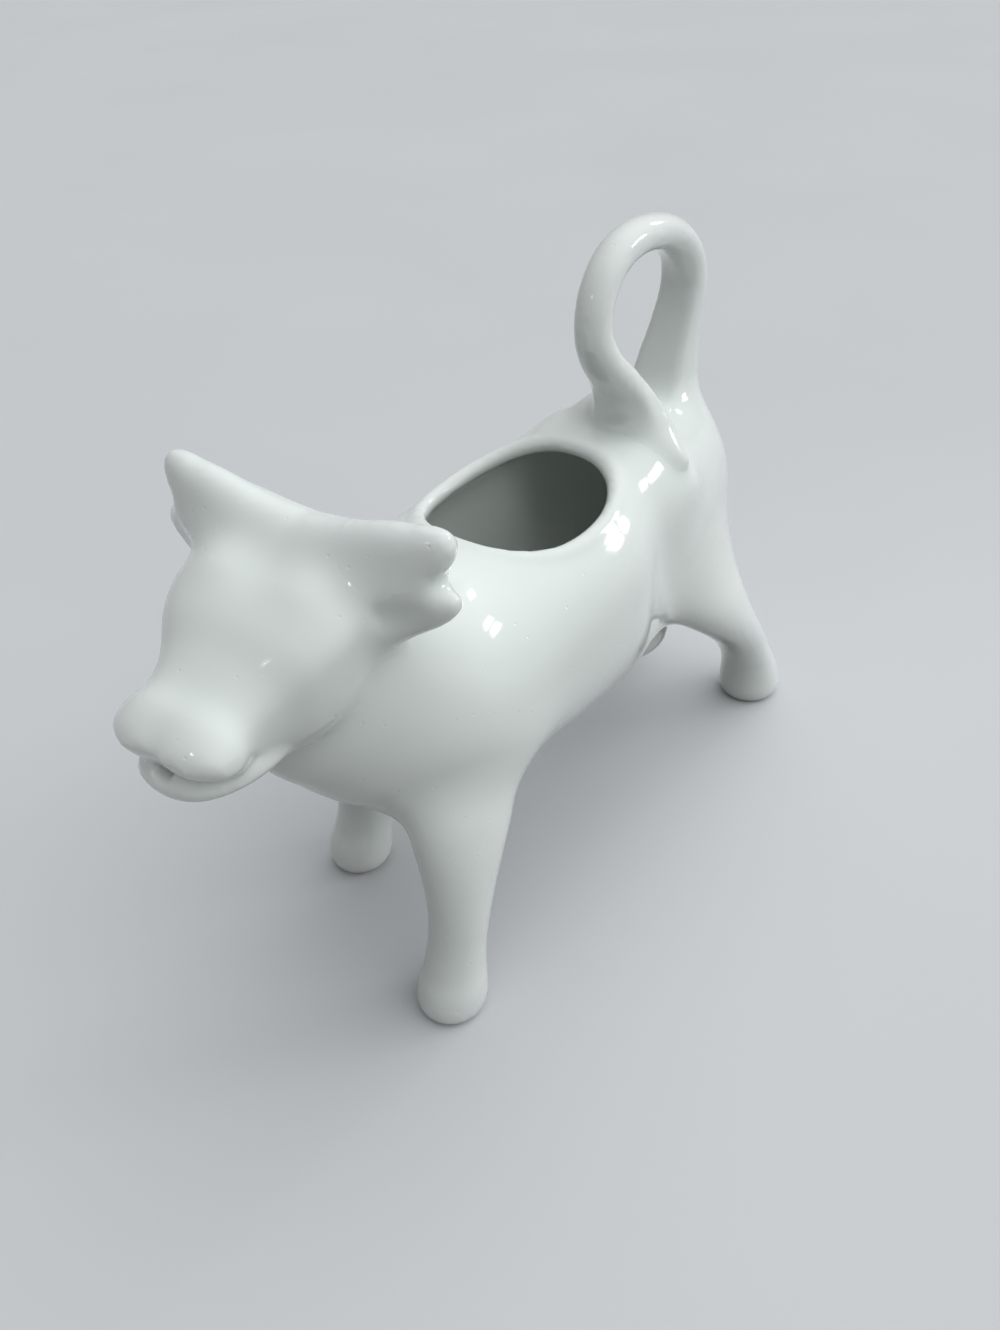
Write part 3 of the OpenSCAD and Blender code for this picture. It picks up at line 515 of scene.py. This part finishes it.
class Jug:
    """The clay at work: the whole jug as one distance field, and each part's own form beside it."""

    def __init__(self):
        self.block = Block((-81.5, -32.5, -2.1), (80.5, 32.5, 122.6), GRAIN)
        self.whole, *self.xyz = self.block.window((-FAR,) * 3, (2 * FAR,) * 3)
        self.trunk, self.row = body_form(TRUNK, *self.xyz, MUSCLES)
        self.skin = self.trunk.copy()
        self.parts = {"body_shell": (self.whole, np.maximum(self.trunk, ROW_STEP * (self.row - SEAT_ROW)))}
        self.ropes = rope_tree()
        self.lute_head()
        self.bank_and_press()
        for name, leg in LEGS.items():
            self.lute_leg(name, *leg)
        self.lute_udder()
        self.lute_tail()
        self.skin = np.maximum(self.skin, -self.xyz[2])
        self.hollow_out()
        self.open_back()

    def lute(self, cut, form, fillet):
        """Joins a form to the jug and wipes the joint to a fillet."""
        self.skin[cut] = melt(self.skin[cut], form, fillet)

    def lute_head(self):
        """Skull and muzzle, lower lip, horns on the poll, and ears."""
        cut, x, y, z = self.block.window((28, -32.5, 50), (80.5, 32.5, 116))
        head = turned_form(HEAD, x, y, z)
        x, y = turned_back(x, y)
        side = np.abs(y)
        lip = chain(LIP, 3, x, y, z, 1.2)
        horn, _, tip = limb_form(HORN, side, x, z)
        horn = np.maximum(horn, side - tip)
        ear, base, tip = limb_form(EAR, side, x, z)
        ear = np.maximum(ear, np.maximum(base - side, side - tip))
        ear = carve(ear, egg(x, side, z, *EAR_SCOOP), 2.6)
        for mark in FACE_THUMBS:
            thumb(head, (x, y, z), *mark)
        face = melt(melt(melt(head, lip, 1.0), horn, 6.0), ear, 5.5)
        face = carve(face, egg(x, side, z, *HORN_NOTCH), 2.4)
        self.lute(cut, face, 2.3)
        neck = np.maximum(self.trunk[cut], ROW_STEP * (SEAT_ROW - self.row[cut[0], :, cut[2]]))
        self.parts["head_shell"] = (cut, np.minimum(np.minimum(head, lip), neck))
        for kind, form in (("horn", np.maximum(horn, HORN_SEAT - side)), ("ear", ear)):
            for hand, sign in (("left_", 1), ("right_", -1)):
                other_side = np.where(sign * y > 0, 0, FAR).astype(np.float32)
                self.parts[hand + kind] = (cut, form + other_side)

    def bank_and_press(self):
        """Clay banked up on the croup, and the marks of the thumb along the body."""
        thumb(self.skin, self.xyz, *CROUP_THUMB)
        for centre, half, fillet in BANKS:
            self.lute(self.whole, egg(*self.xyz, centre, half), fillet)
        for mark in BODY_THUMBS:
            thumb(self.skin, self.xyz, *mark)

    def lute_leg(self, name, rows, low, high, fillet):
        cut, x, y, z = self.block.window(low, high)
        leg, _, top = limb_form(rows, z, x, y)
        self.lute(cut, np.maximum(leg, z - top), fillet)
        self.parts[name] = (cut, np.maximum(leg, z - LEG_SEAT))

    def lute_udder(self):
        cut, x, y, z = self.block.window((-60, -14, 18), (-28, 14, 44))
        udder = egg(x, y, z, *UDDER)
        self.lute(cut, udder, 2.2)
        self.parts["udder"] = (cut, udder)

    def lute_tail(self):
        """The loop that is the handle, and the tuft laid down over the hip."""
        cut, x, y, z = self.block.window((-80, -20, 56), (-14, 24, 123))
        tail = rope_distance(*rope("tail_path", TAIL, self.ropes, (0.0, 1.0, 0.0)), x, y, z)
        # the rising strand, the first nine rows, is pressed flat on its inner face
        rise = np.array(TAIL[:9])
        face = np.interp(z, rise[:, 2], rise[:, 0] + 0.58 * rise[:, 3])
        face = face + np.clip(z - 101, 0, 13) ** 2 * 0.09       # and runs out where the strand turns over
        inner_face = np.where((x < -46) & (z > 74) & (z < 112), x - face, -9)
        tail = -melt(-tail, -inner_face, 1.2)
        self.lute(cut, tail, 6.0)
        # as a part, the falling strand ends on a slanting plane, where the tuft takes over
        end = ((x + 33) * -.4 + (y - 5) * .3 + (90.5 - z) * .85).astype(np.float32)
        self.parts["tail_handle"] = (cut, np.maximum(tail, end - np.where(x < -48, 50, 0)))
        cut, x, y, z = self.block.window((-58, -16, 60), (-16, 32, 104))
        tuft = rope_distance(*rope("tuft_path", TUFT, self.ropes, pinch=0.45), x, y, z)
        self.lute(cut, tuft, 1.4)
        self.parts["tail_tuft"] = (cut, tuft)

    def hollow_out(self):
        """The hollow inside the cast wall, and the pour channel through the head."""
        self.inner = self.trunk + WALL
        cut, x, y, z = self.block.window((36, -18, 60), (80.5, 18, 96))
        channel = chain(CHANNEL, 4, *turned_back(x, y), z, 0.5)
        self.inner[cut] = np.minimum(self.inner[cut], channel)
        self.skin = carve(self.skin, self.inner, 0.6)

    def open_back(self):
        """The filling opening, with the wall's edge rolled over to a bead that is flush with the skin."""
        cut, x, y, z = self.block.window((-40, -22, 66), (24, 22, 94))
        full = MOUTH_FULL
        q = (np.abs((x - MOUTH_X) / MOUTH_LONG) ** full + np.abs(y / MOUTH_WIDE) ** full) ** (1 / full) - 1
        shape = np.broadcast_shapes(x.shape, y.shape, z.shape)
        well = evened(np.broadcast_to(q, shape).astype(np.float32))
        floor = 70 - z      # the cut goes through the back, and stops in the hollow
        self.skin[cut] = carve(self.skin[cut], np.maximum(well, floor), 1.6)
        steps = 96
        turn = np.linspace(0, 2 * np.pi, steps, endpoint=False)
        c, s = np.cos(turn), np.sin(turn)
        ring_x = MOUTH_X + MOUTH_LONG * np.sign(c) * np.abs(c) ** (2 / full)
        ring_y = MOUTH_WIDE * np.sign(s) * np.abs(s) ** (2 / full)
        ix = ((ring_x + FORWARD - self.block.low[0]) / GRAIN).round().astype(int)
        iy = ((ring_y - self.block.low[1]) / GRAIN).round().astype(int)
        tops = []
        for i, j in zip(ix, iy):
            column = self.trunk[i, j]
            k = np.nonzero(column < 0)[0].max()
            tops.append(self.block.axes[2][k] + GRAIN * column[k] / (column[k] - column[k + 1]))
        tops = np.convolve(np.r_[tops[-5:], tops, tops[:5]], np.ones(11) / 11, "valid")
        thick = np.full(steps, WALL / 2)
        rows = np.stack([ring_x, ring_y, tops - 1.45, thick, thick], 1)
        bead = rope_distance(*rope("lip_path", rows, self.ropes, (0.0, 0.0, 1.0), closed=True), x, y, z, 4.0)
        self.lute(cut, bead, 1.4)

    def at(self, points, name=None):
        """The distance at points, mm in the part's frame, to the whole jug or to one part's own form."""
        cut, field = self.parts[name] if name else (None, self.skin)
        return read(field, self.block, points, cut)


# ---------- from the clay to its skin ----------

def skin_of(block, field):
    """Quads of the clay's skin, one corner in each cell that it crosses."""
    inside = field < 0
    n = np.array(field.shape)
    strides = np.array([n[1] * n[2], n[2], 1])
    sums, ids, quads = [], [], []
    for a in range(3):
        b, c = (a + 1) % 3, (a + 2) % 3
        s0, s1 = [slice(None)] * 3, [slice(None)] * 3
        s0[a], s1[a] = slice(0, -1), slice(1, None)
        hit = np.argwhere(inside[tuple(s0)] != inside[tuple(s1)])
        hit = hit[(hit[:, b] > 0) & (hit[:, c] > 0) & (hit[:, b] < n[b] - 1) & (hit[:, c] < n[c] - 1)]
        after = hit.copy()
        after[:, a] += 1
        f0, f1 = field[tuple(hit.T)], field[tuple(after.T)]
        spot = hit.astype(float)
        spot[:, a] += f0 / (f0 - f1)
        eb, ec = np.zeros(3, int), np.zeros(3, int)
        eb[b], ec[c] = 1, 1
        cells = np.stack([q @ strides for q in (hit - eb - ec, hit - ec, hit, hit - eb)], 1)
        for q in range(4):
            ids.append(cells[:, q])
            sums.append(spot)
        quads.append(np.where((f0 < f1)[:, None], cells, cells[:, ::-1]))
    ids, sums, quads = np.concatenate(ids), np.concatenate(sums), np.concatenate(quads)
    names, inverse = np.unique(ids, return_inverse=True)
    inverse = inverse.reshape(-1)
    number = np.bincount(inverse)
    points = np.stack([np.bincount(inverse, sums[:, i]) / number for i in range(3)], 1)
    return block.low + GRAIN * points, np.searchsorted(names, quads)


def read(field, block, points, cut=None):
    """The field at points, in mm in the part's frame; FAR outside its window."""
    low = block.low + GRAIN * np.array([c.start for c in cut]) if cut else block.low
    p = (points - low) / GRAIN
    top = np.array(field.shape) - 1
    out = ((p < 0) | (p > top)).any(1)
    i = np.clip(np.floor(p).astype(int), 0, top - 1)
    f = np.clip(p - i, 0, 1)
    total = 0
    for dx in (0, 1):
        for dy in (0, 1):
            for dz in (0, 1):
                w = (f[:, 0] if dx else 1 - f[:, 0]) * (f[:, 1] if dy else 1 - f[:, 1]) \
                    * (f[:, 2] if dz else 1 - f[:, 2])
                total = total + w * field[i[:, 0] + dx, i[:, 1] + dy, i[:, 2] + dz]
    return np.where(out, FAR, total)


def slope(value, points, step=0.4):
    """Gradient of a function of points."""
    return np.stack([(value(points + step * e) - value(points - step * e)) / (2 * step)
                     for e in np.eye(3)], 1)


def onto(value, points, rounds=2, least=0.25):
    """Moves points onto the zero of a function."""
    for _ in range(rounds):
        g = slope(value, points)
        g /= np.maximum((g ** 2).sum(1), least)[:, None]
        points = points - np.clip(value(points), -0.5, 0.5)[:, None] * g
    return points


def edge_pairs(quads):
    """For each edge between two quads: the two quads and the edge's two points."""
    a = quads.ravel()
    b = np.roll(quads, -1, axis=1).ravel()
    owner = np.repeat(np.arange(len(quads)), 4)
    key = np.minimum(a, b) * (quads.max() + 1) + np.maximum(a, b)
    order = np.argsort(key, kind="stable")
    key, owner, a, b = key[order], owner[order], a[order], b[order]
    same = np.nonzero(key[:-1] == key[1:])[0]
    return owner[same], owner[same + 1], a[same], b[same]


def joint_labels(jug, points, quads, first, second):
    """Which part each quad of the skin belongs to: the one whose own form is nearest."""
    names = list(jug.parts)
    centres = points[quads].mean(1)
    own = np.stack([jug.at(centres, n) for n in names], 1)
    hollow = read(jug.inner, jug.block, centres) < WALL / 2
    own[np.ix_(hollow, [n not in SHELLS for n in names])] = FAR
    label = own.argmin(1)
    # a quad goes over to the part that most of those round it belong to
    every = np.arange(len(quads))
    for _ in range(12):
        votes = np.zeros(own.shape, np.int32)
        votes[every, label] = 1
        np.add.at(votes, (first, label[second]), 1)
        np.add.at(votes, (second, label[first]), 1)
        best = votes.argmax(1)
        change = (votes[every, best] >= 3) & (best != label)
        if not change.any():
            break
        label = np.where(change, best, label)
    return without_islands(label, first, second)


def without_islands(label, first, second, main=4000):
    """Gives each patch that is cut off from its part's biggest one to the part round it."""
    near = [[] for _ in range(len(label))]
    for p, q in zip(first.tolist(), second.tolist()):
        near[p].append(q)
        near[q].append(p)
    kinds = label.tolist()
    patch = [-1] * len(label)
    patches = []
    for seed in range(len(label)):
        if patch[seed] >= 0:
            continue
        number, kind = len(patches), kinds[seed]
        patch[seed] = number
        stack, members = [seed], [seed]
        while stack:
            for q in near[stack.pop()]:
                if patch[q] < 0 and kinds[q] == kind:
                    patch[q] = number
                    stack.append(q)
                    members.append(q)
        patches.append(members)
    biggest = {}
    for number, members in enumerate(patches):
        kind = kinds[members[0]]
        if kind not in biggest or len(members) > len(patches[biggest[kind]]):
            biggest[kind] = number
    for number, members in enumerate(patches):
        if biggest[kinds[members[0]]] != number and len(members) < main:
            around = [kinds[q] for m in members for q in near[m] if patch[q] != number]
            if around:
                label[members] = max(set(around), key=around.count)
    return label


def boundary_loops(edges):
    """Closed loops from directed edges."""
    leads = {}
    for a, b in edges:
        leads.setdefault(a, []).append(b)
    loops = []
    while leads:
        start = next(iter(leads))
        loop, here = [start], start
        while True:
            ways = leads[here]
            there = ways.pop()
            if not ways:
                del leads[here]
            if there == start:
                break
            loop.append(there)
            here = there
        loops.append(loop)
    return loops


def cap(loop, points, added, kept_in):
    """Closes a loop inside the clay with rings towards its middle, kept within the wall below.
    Gives the faces; the new points go to added."""
    ring = points[loop]
    middle = ring.mean(0)
    faces, before = [], list(loop)
    n = len(loop)
    for t in (0.3, 0.6, 0.85):
        start = len(points) + sum(len(a) for a in added)
        added.append(kept_in(ring + (middle - ring) * t))
        now = list(range(start, start + n))
        for i in range(n):
            j = (i + 1) % n
            faces.append((before[j], before[i], now[i], now[j]))
        before = now
    start = len(points) + sum(len(a) for a in added)
    added.append(kept_in(middle[None]))
    for i in range(n):
        faces.append((before[(i + 1) % n], before[i], start))
    return faces


def bridge(outer, inner, points):
    """Closes the wall between two loops that run round the same seat."""
    back = inner[::-1]
    first = np.linalg.norm(points[back] - points[outer[0]], axis=1).argmin()
    back = back[first:] + back[:first]

    def share(loop):
        p = points[loop + loop[:1]]
        run = np.concatenate([[0], np.cumsum(np.linalg.norm(np.diff(p, axis=0), axis=1))])
        return run / run[-1]
    so, sb = share(outer), share(back)
    faces, i, j = [], 0, 0
    n, m = len(outer), len(back)
    while i < n or j < m:
        if j >= m or (i < n and so[i + 1] <= sb[j + 1]):
            faces.append((outer[(i + 1) % n], outer[i % n], back[j % m]))
            i += 1
        else:
            faces.append((back[j % m], back[(j + 1) % m], outer[i % n]))
            j += 1
    return faces


def skin_normals(points, quads):
    """The whole skin's normals, which its pieces share, so that no joint shows in the gloss."""
    p = points[quads]
    n = np.cross(p[:, 2] - p[:, 0], p[:, 3] - p[:, 1])
    total = np.zeros_like(points)
    for c in range(4):
        np.add.at(total, quads[:, c], n)
    return total / np.maximum(np.linalg.norm(total, axis=1), 1e-9)[:, None]


# ---------- glaze and stage ----------

def firing_group():
    """What the kiln leaves all over: slow drift of tone, ripple of the coat and fine pinholes."""
    bench, given = group(
        "kiln_marks", "ShaderNodeTree",
        [("Drift Size", "Float", 30.0), ("Ripple Size", "Float", 120.0), ("Pinhole Size", "Float", 900.0)],
        [("Drift", "Float"), ("Ripple", "Float"), ("Pinholes", "Float")])
    where = bench.add("ShaderNodeTexCoord").outputs["Object"]

    def noise(kind, size, **feeds):
        return bench.add(kind, {"Vector": where, "Scale": given[size], **feeds}).outputs
    holes = noise("ShaderNodeTexVoronoi", "Pinhole Size")["Distance"]
    few = bench.add("ShaderNodeMapRange", {
        "Value": holes, "From Min": 0.02, "From Max": 0.09, "To Min": 1.0, "To Max": 0.0},
        interpolation_type="SMOOTHSTEP")
    bench.add("NodeGroupOutput", {
        "Drift": noise("ShaderNodeTexNoise", "Drift Size", Detail=3.0)["Fac"],
        "Ripple": noise("ShaderNodeTexNoise", "Ripple Size", Detail=1.5)["Fac"],
        "Pinholes": few.outputs["Result"]})
    return bench.tree


def finish(name, marks=None, sizes=()):
    """An empty material, the bench for its nodes and the kiln's marks in the sizes given."""
    material = bpy.data.materials.new(name)
    material.use_nodes = True
    material.node_tree.nodes.clear()
    bench = Bench(material.node_tree)
    if marks is None:
        return material, bench
    sizes = dict(zip(("Drift Size", "Ripple Size", "Pinhole Size"), sizes))
    return material, bench, bench.add("ShaderNodeGroup", sizes, node_tree=marks).outputs


def coated(bench, feeds):
    """The surface itself."""
    skin = bench.add("ShaderNodeBsdfPrincipled", feeds)
    bench.add("ShaderNodeOutputMaterial", {"Surface": skin.outputs["BSDF"]})


def glazed_porcelain(marks):
    """Cool white porcelain under a clear gloss glaze that pools faintly green in the hollows."""
    material, bench, kiln = finish("glazed_porcelain", marks, (26.0, 95.0, 260.0))
    pool = bench.add("ShaderNodeAttribute", attribute_name="pool").outputs["Fac"]
    tone = bench.mixed(kiln["Drift"], (0.69, 0.725, 0.69, 1), (0.75, 0.775, 0.755, 1))
    gloss = bench.add("ShaderNodeMapRange", {"Value": kiln["Drift"], "To Min": 0.05, "To Max": 0.13})
    height = bench.number("SUBTRACT", kiln["Ripple"], kiln["Pinholes"])
    bump = bench.add("ShaderNodeBump", {"Strength": 0.2, "Distance": 0.0004, "Height": height})
    coated(bench, {
        "Base Color": bench.mixed(pool, tone, (0.67, 0.72, 0.665, 1)),
        "Roughness": gloss.outputs["Result"], "Normal": bump.outputs["Normal"],
        "IOR": 1.52, "Coat Weight": 0.6, "Coat Roughness": 0.03})
    return material


def bare_foot(marks):
    """The soles, wiped clean of glaze before firing: matt and a little warmer."""
    material, bench, kiln = finish("bare_porcelain_sole", marks, (120.0, 1400.0, 1200.0))
    bump = bench.add("ShaderNodeBump", {"Strength": 0.5, "Distance": 0.0001, "Height": kiln["Ripple"]})
    tone = bench.mixed(kiln["Drift"], (0.60, 0.585, 0.55, 1), (0.72, 0.71, 0.68, 1))
    coated(bench, {"Base Color": tone, "Roughness": 0.8, "Normal": bump.outputs["Normal"]})
    return material


def pale_floor():
    """Pale where it is seen, and darker to light on its way, so that it throws little up on the jug."""
    material, bench = finish("pale_floor")
    where = bench.add("ShaderNodeTexCoord").outputs["Object"]
    cloud = bench.add("ShaderNodeTexNoise", {"Vector": where, "Scale": 6.0}).outputs["Fac"]
    tone = bench.mixed(cloud, (0.52, 0.525, 0.535, 1), (0.56, 0.565, 0.57, 1))
    seen = bench.mixed(bench.open_view(), (0.22, 0.225, 0.22, 1), tone)
    coated(bench, {"Base Color": seen, "Roughness": 0.7})
    return material


def placed(name, data):
    """A new object in the scene."""
    thing = bpy.data.objects.new(name, data)
    bpy.context.scene.collection.objects.link(thing)
    return thing


def set_camera():
    """The photograph's view, from its eye point, its axes and its focal length in pixels."""
    focal, frame_height, film = 1099.7, 1330, 36.0
    eye = Vector((0.13137, 0.11211, 0.17803))
    ahead, right = Vector((-0.598, -0.516, -0.613)), Vector((-0.625, 0.779, -0.046))
    ahead.normalize()
    right = (right - ahead * right.dot(ahead)).normalized()
    up = right.cross(ahead)
    lens = bpy.data.cameras.new("camera")
    lens.sensor_fit, lens.sensor_height = "VERTICAL", film
    lens.lens = focal / frame_height * film
    lens.clip_start, lens.clip_end = 0.01, 20
    camera = placed("camera", lens)
    camera.matrix_world = Matrix.Translation(eye) @ Matrix((right, up, -ahead)).transposed().to_4x4()
    bpy.context.scene.camera = camera


def set_sky():
    """One broad patch of sky over the cow gives the soft light and the rest a little fill.
    Where it is seen, the surroundings are a plain pale wall."""
    world = bpy.data.worlds.new("studio")
    bpy.context.scene.world = world
    world.use_nodes = True
    world.node_tree.nodes.clear()
    bench = Bench(world.node_tree)
    where = bench.add("ShaderNodeTexCoord").outputs["Generated"]
    facing = bench.vector("DOT_PRODUCT", where, Vector((-0.42, 0.38, 0.92)).normalized())
    patch = bench.add("ShaderNodeMapRange", {
        "Value": facing, "From Min": 0.25, "From Max": 1.0, "To Min": 0.22, "To Max": 2.0},
        interpolation_type="SMOOTHSTEP")
    air = bench.add("ShaderNodeBackground", {
        "Color": (0.95, 0.98, 1.0, 1), "Strength": patch.outputs["Result"]})
    seen = bench.add("ShaderNodeBackground", {"Color": (0.56, 0.57, 0.58, 1), "Strength": 0.8})
    mix = bench.add("ShaderNodeMixShader", {0: bench.open_view(), 1: air.outputs[0], 2: seen.outputs[0]})
    bench.add("ShaderNodeOutputWorld", {"Surface": mix.outputs[0]})


def hang_window(name, aim, towards, size, glow, spread, shift=0.0):
    """A pane of daylight a metre off: aim and direction towards it, and how bright it looks from there."""
    aim, towards = Vector(aim), Vector(towards).normalized()
    beside = Vector((-towards.y, towards.x, 0)).normalized()
    half = math.radians(spread) / 2
    lamp = bpy.data.lights.new(name, "AREA")
    lamp.shape, lamp.size, lamp.size_y = "RECTANGLE", size[0], size[1]
    lamp.spread = math.radians(spread)
    gather = math.tan(half) / (math.tan(half) - half)
    lamp.energy = glow * math.pi * size[0] * size[1] / gather
    lamp.color = (0.93, 0.97, 1.0)
    lamp = placed(name, lamp)
    lamp.location = aim + towards + beside * shift
    lamp.rotation_euler = (aim - lamp.location).to_track_quat("-Z", "Y").to_euler()


def set_stage():
    """Pale floor, soft light, the panes whose glints lie on the glaze, and the photograph's camera."""
    bpy.context.scene.view_settings.view_transform = "Standard"
    set_camera()
    floor = mesh_from("floor", [(-4, -4, 0), (4, -4, 0), (4, 4, 0), (-4, 4, 0)], [4], [0, 1, 2, 3])
    floor.materials.append(pale_floor())
    floor = placed("floor", floor)
    set_sky()
    haunch, hip, ear = (-0.040, 0.020, 0.072), (-0.056, 0.004, 0.080), (0.050, 0.020, 0.092)
    left_of_tail = (-0.74, 0.55, 0.38)
    hang_window("window_left", haunch, left_of_tail, (0.10, 0.25), 16, 15, -0.065)
    hang_window("window_right", haunch, left_of_tail, (0.10, 0.25), 16, 15, 0.065)
    hang_window("door_pane", hip, (-0.91, 0.07, 0.41), (0.12, 0.20), 14, 13)
    hang_window("skylight", ear, (0.76, -0.12, 0.64), (0.08, 0.08), 10, 20)


# ---------- the pieces ----------

def stood(points):
    """The soles pressed flat on the table."""
    points[:, 2] = np.where(points[:, 2] < SOLE_PRESS, 0.0, points[:, 2])
    return points


def even_joints(points, start, end, jug, passes=5, most=0.32):
    """Evens out the lines that the parts meet along, moving no point further than most, in mm."""
    meets = np.bincount(np.r_[start, end], minlength=len(points))
    line = np.nonzero(meets == 2)[0]
    new = points.copy()
    for _ in range(passes):
        beside = np.zeros_like(points)
        np.add.at(beside, start, new[end])
        np.add.at(beside, end, new[start])
        shift = (0.5 * new[line] + 0.25 * beside[line]) - points[line]
        size = np.linalg.norm(shift, axis=1)[:, None]
        new[line] = points[line] + shift * np.minimum(1, most / np.maximum(size, 1e-6))
    points[line] = onto(jug.at, new[line])
    return stood(points)


def pooled(points, quads, normals, a, b, passes=14, bend_scale=0.22):
    """How much the glaze pools at each point: more in hollows, less on edges."""
    bend = -((points[quads].mean(1)[:, None] - points[quads]) * normals[quads]).sum(2)
    curl, count = np.zeros(len(points)), np.zeros(len(points))
    for c in range(4):
        np.add.at(curl, quads[:, c], bend[:, c])
        np.add.at(count, quads[:, c], 1)
    curl /= np.maximum(count, 1)
    degree = np.maximum(np.bincount(np.r_[a, b], minlength=len(points)), 1)
    for _ in range(passes):
        total = np.zeros(len(points))
        np.add.at(total, a, curl[b])
        np.add.at(total, b, curl[a])
        curl = 0.5 * curl + 0.5 * total / degree
    return np.clip(0.25 - curl / (GRAIN * GRAIN * bend_scale), 0, 1)


def kept_within(jug, name):
    """Keeps a cap's points from sinking through the wall below it."""
    def value(at):
        return jug.at(at, name)

    def push(at):
        for _ in range(5):
            short = np.clip(-0.9 - value(at), 0, 2.5)
            g = slope(value, at)
            at = at + short[:, None] * g / np.maximum((g ** 2).sum(1), 0.3)[:, None]
        return at
    return push


def rims(corners, count):
    """The open edges of a patch of quads, as closed loops of points."""
    s, e = corners.ravel(), np.roll(corners, -1, axis=1).ravel()
    values, where = np.unique(np.minimum(s, e) * count + np.maximum(s, e), return_inverse=True)
    net = np.bincount(where.reshape(-1), np.where(s < e, 1, -1)).round().astype(int)
    edges = []
    for value, times in zip(values[net != 0].tolist(), net[net != 0].tolist()):
        p, q = value // count, value % count
        edges += [(p, q) if times > 0 else (q, p)] * abs(times)
    return boundary_loops(edges)


class Glazed:
    """The jug's whole skin: its points and quads, the part each quad belongs to, normals and pooling."""

    def __init__(self, jug):
        points, quads = skin_of(jug.block, jug.skin)
        points = onto(jug.at, points)
        raw = mesh_from("raw_skin", points, np.full(len(quads), 4), quads.ravel())
        points = stood(grown(raw, settle_tree(), Passes=3, Pull=0.5)[0])
        self.names = list(jug.parts)
        first, second, a, b = pairs = edge_pairs(quads)
        self.label = joint_labels(jug, points, quads, first, second)
        split = self.label[first] != self.label[second]
        self.points, self.quads = even_joints(points, a[split], b[split], jug), quads
        self.normals = skin_normals(self.points, quads)
        self.pool = pooled(self.points, quads, self.normals, a, b)
        self.joints = {}
        for p, q, s, e in zip(*(v[split].tolist() for v in pairs)):
            self.joints[(min(s, e), max(s, e))] = (self.label[p], self.label[q])
        self.on_trunk, self.on_head = kept_within(jug, "body_shell"), kept_within(jug, "head_shell")

    def neighbours(self, loop, number):
        """The parts that a loop on one part's rim runs along."""
        edges = ((min(p, q), max(p, q)) for p, q in zip(loop, loop[-1:] + loop[:-1]))
        met = [self.joints[edge] for edge in edges if edge in self.joints]
        return {self.names[p if p != number else q] for p, q in met}

    def closing(self, name, loops):
        """Faces that close a piece where it was cut, and the points that they add."""
        number = self.names.index(name)
        seat, others = [], []
        for loop in loops:
            between = name in SHELLS and self.neighbours(loop, number) <= SHELLS
            (seat if between and len(loop) > 20 else others).append(loop)
        faces, added = [], []
        if len(seat) == 2:      # the head's hollow neck sits on the trunk's: two rims, one wall
            seat.sort(key=len, reverse=True)
            faces += bridge(seat[0], seat[1], self.points)
        else:
            others += seat
        on_head = name == "head_shell" or name.endswith(("_horn", "_ear"))
        for loop in others:
            faces += cap(loop, self.points, added, self.on_head if on_head else self.on_trunk)
        return faces, added

    def piece(self, name, glaze, sole):
        """One closed piece of the jug, cut along its joints, that shares the whole skin's normals."""
        corners = self.quads[self.label == self.names.index(name)]
        faces, added = self.closing(name, rims(corners, len(self.points)))
        every = np.concatenate([self.points] + added)
        sizes = np.concatenate([np.full(len(corners), 4), [len(f) for f in faces]]).astype(int)
        corner_list = np.concatenate([corners.ravel(), np.array([v for f in faces for v in f], int)])
        used, compact = np.unique(corner_list, return_inverse=True)
        mesh = mesh_from(name, every[used] / 1000, sizes, compact.reshape(-1))
        on_skin = used < len(self.points)
        facing, coat = np.zeros((len(used), 3)), np.zeros(len(used), np.float32)
        facing[on_skin] = self.normals[used[on_skin]]
        coat[on_skin] = self.pool[used[on_skin]]
        mesh.attributes.new("pool", "FLOAT", "POINT").data.foreach_set("value", coat)
        mesh.materials.append(glaze)
        mesh.materials.append(sole)
        bare = np.zeros(len(sizes), np.int32)
        bare[:len(corners)] = self.points[corners][:, :, 2].max(1) < 0.05
        mesh.polygons.foreach_set("material_index", bare)
        mesh.polygons.foreach_set("use_smooth", np.ones(len(sizes), bool))
        mesh.validate()
        mesh.normals_split_custom_set_from_vertices(facing.tolist())
        return placed("glazed_" + name, mesh)


set_stage()
marks = firing_group()
glaze, sole = glazed_porcelain(marks), bare_foot(marks)
jug = Glazed(Jug())
for name in jug.names:
    piece = jug.piece(name, glaze, sole)
    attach(piece, "root")
    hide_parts(name)
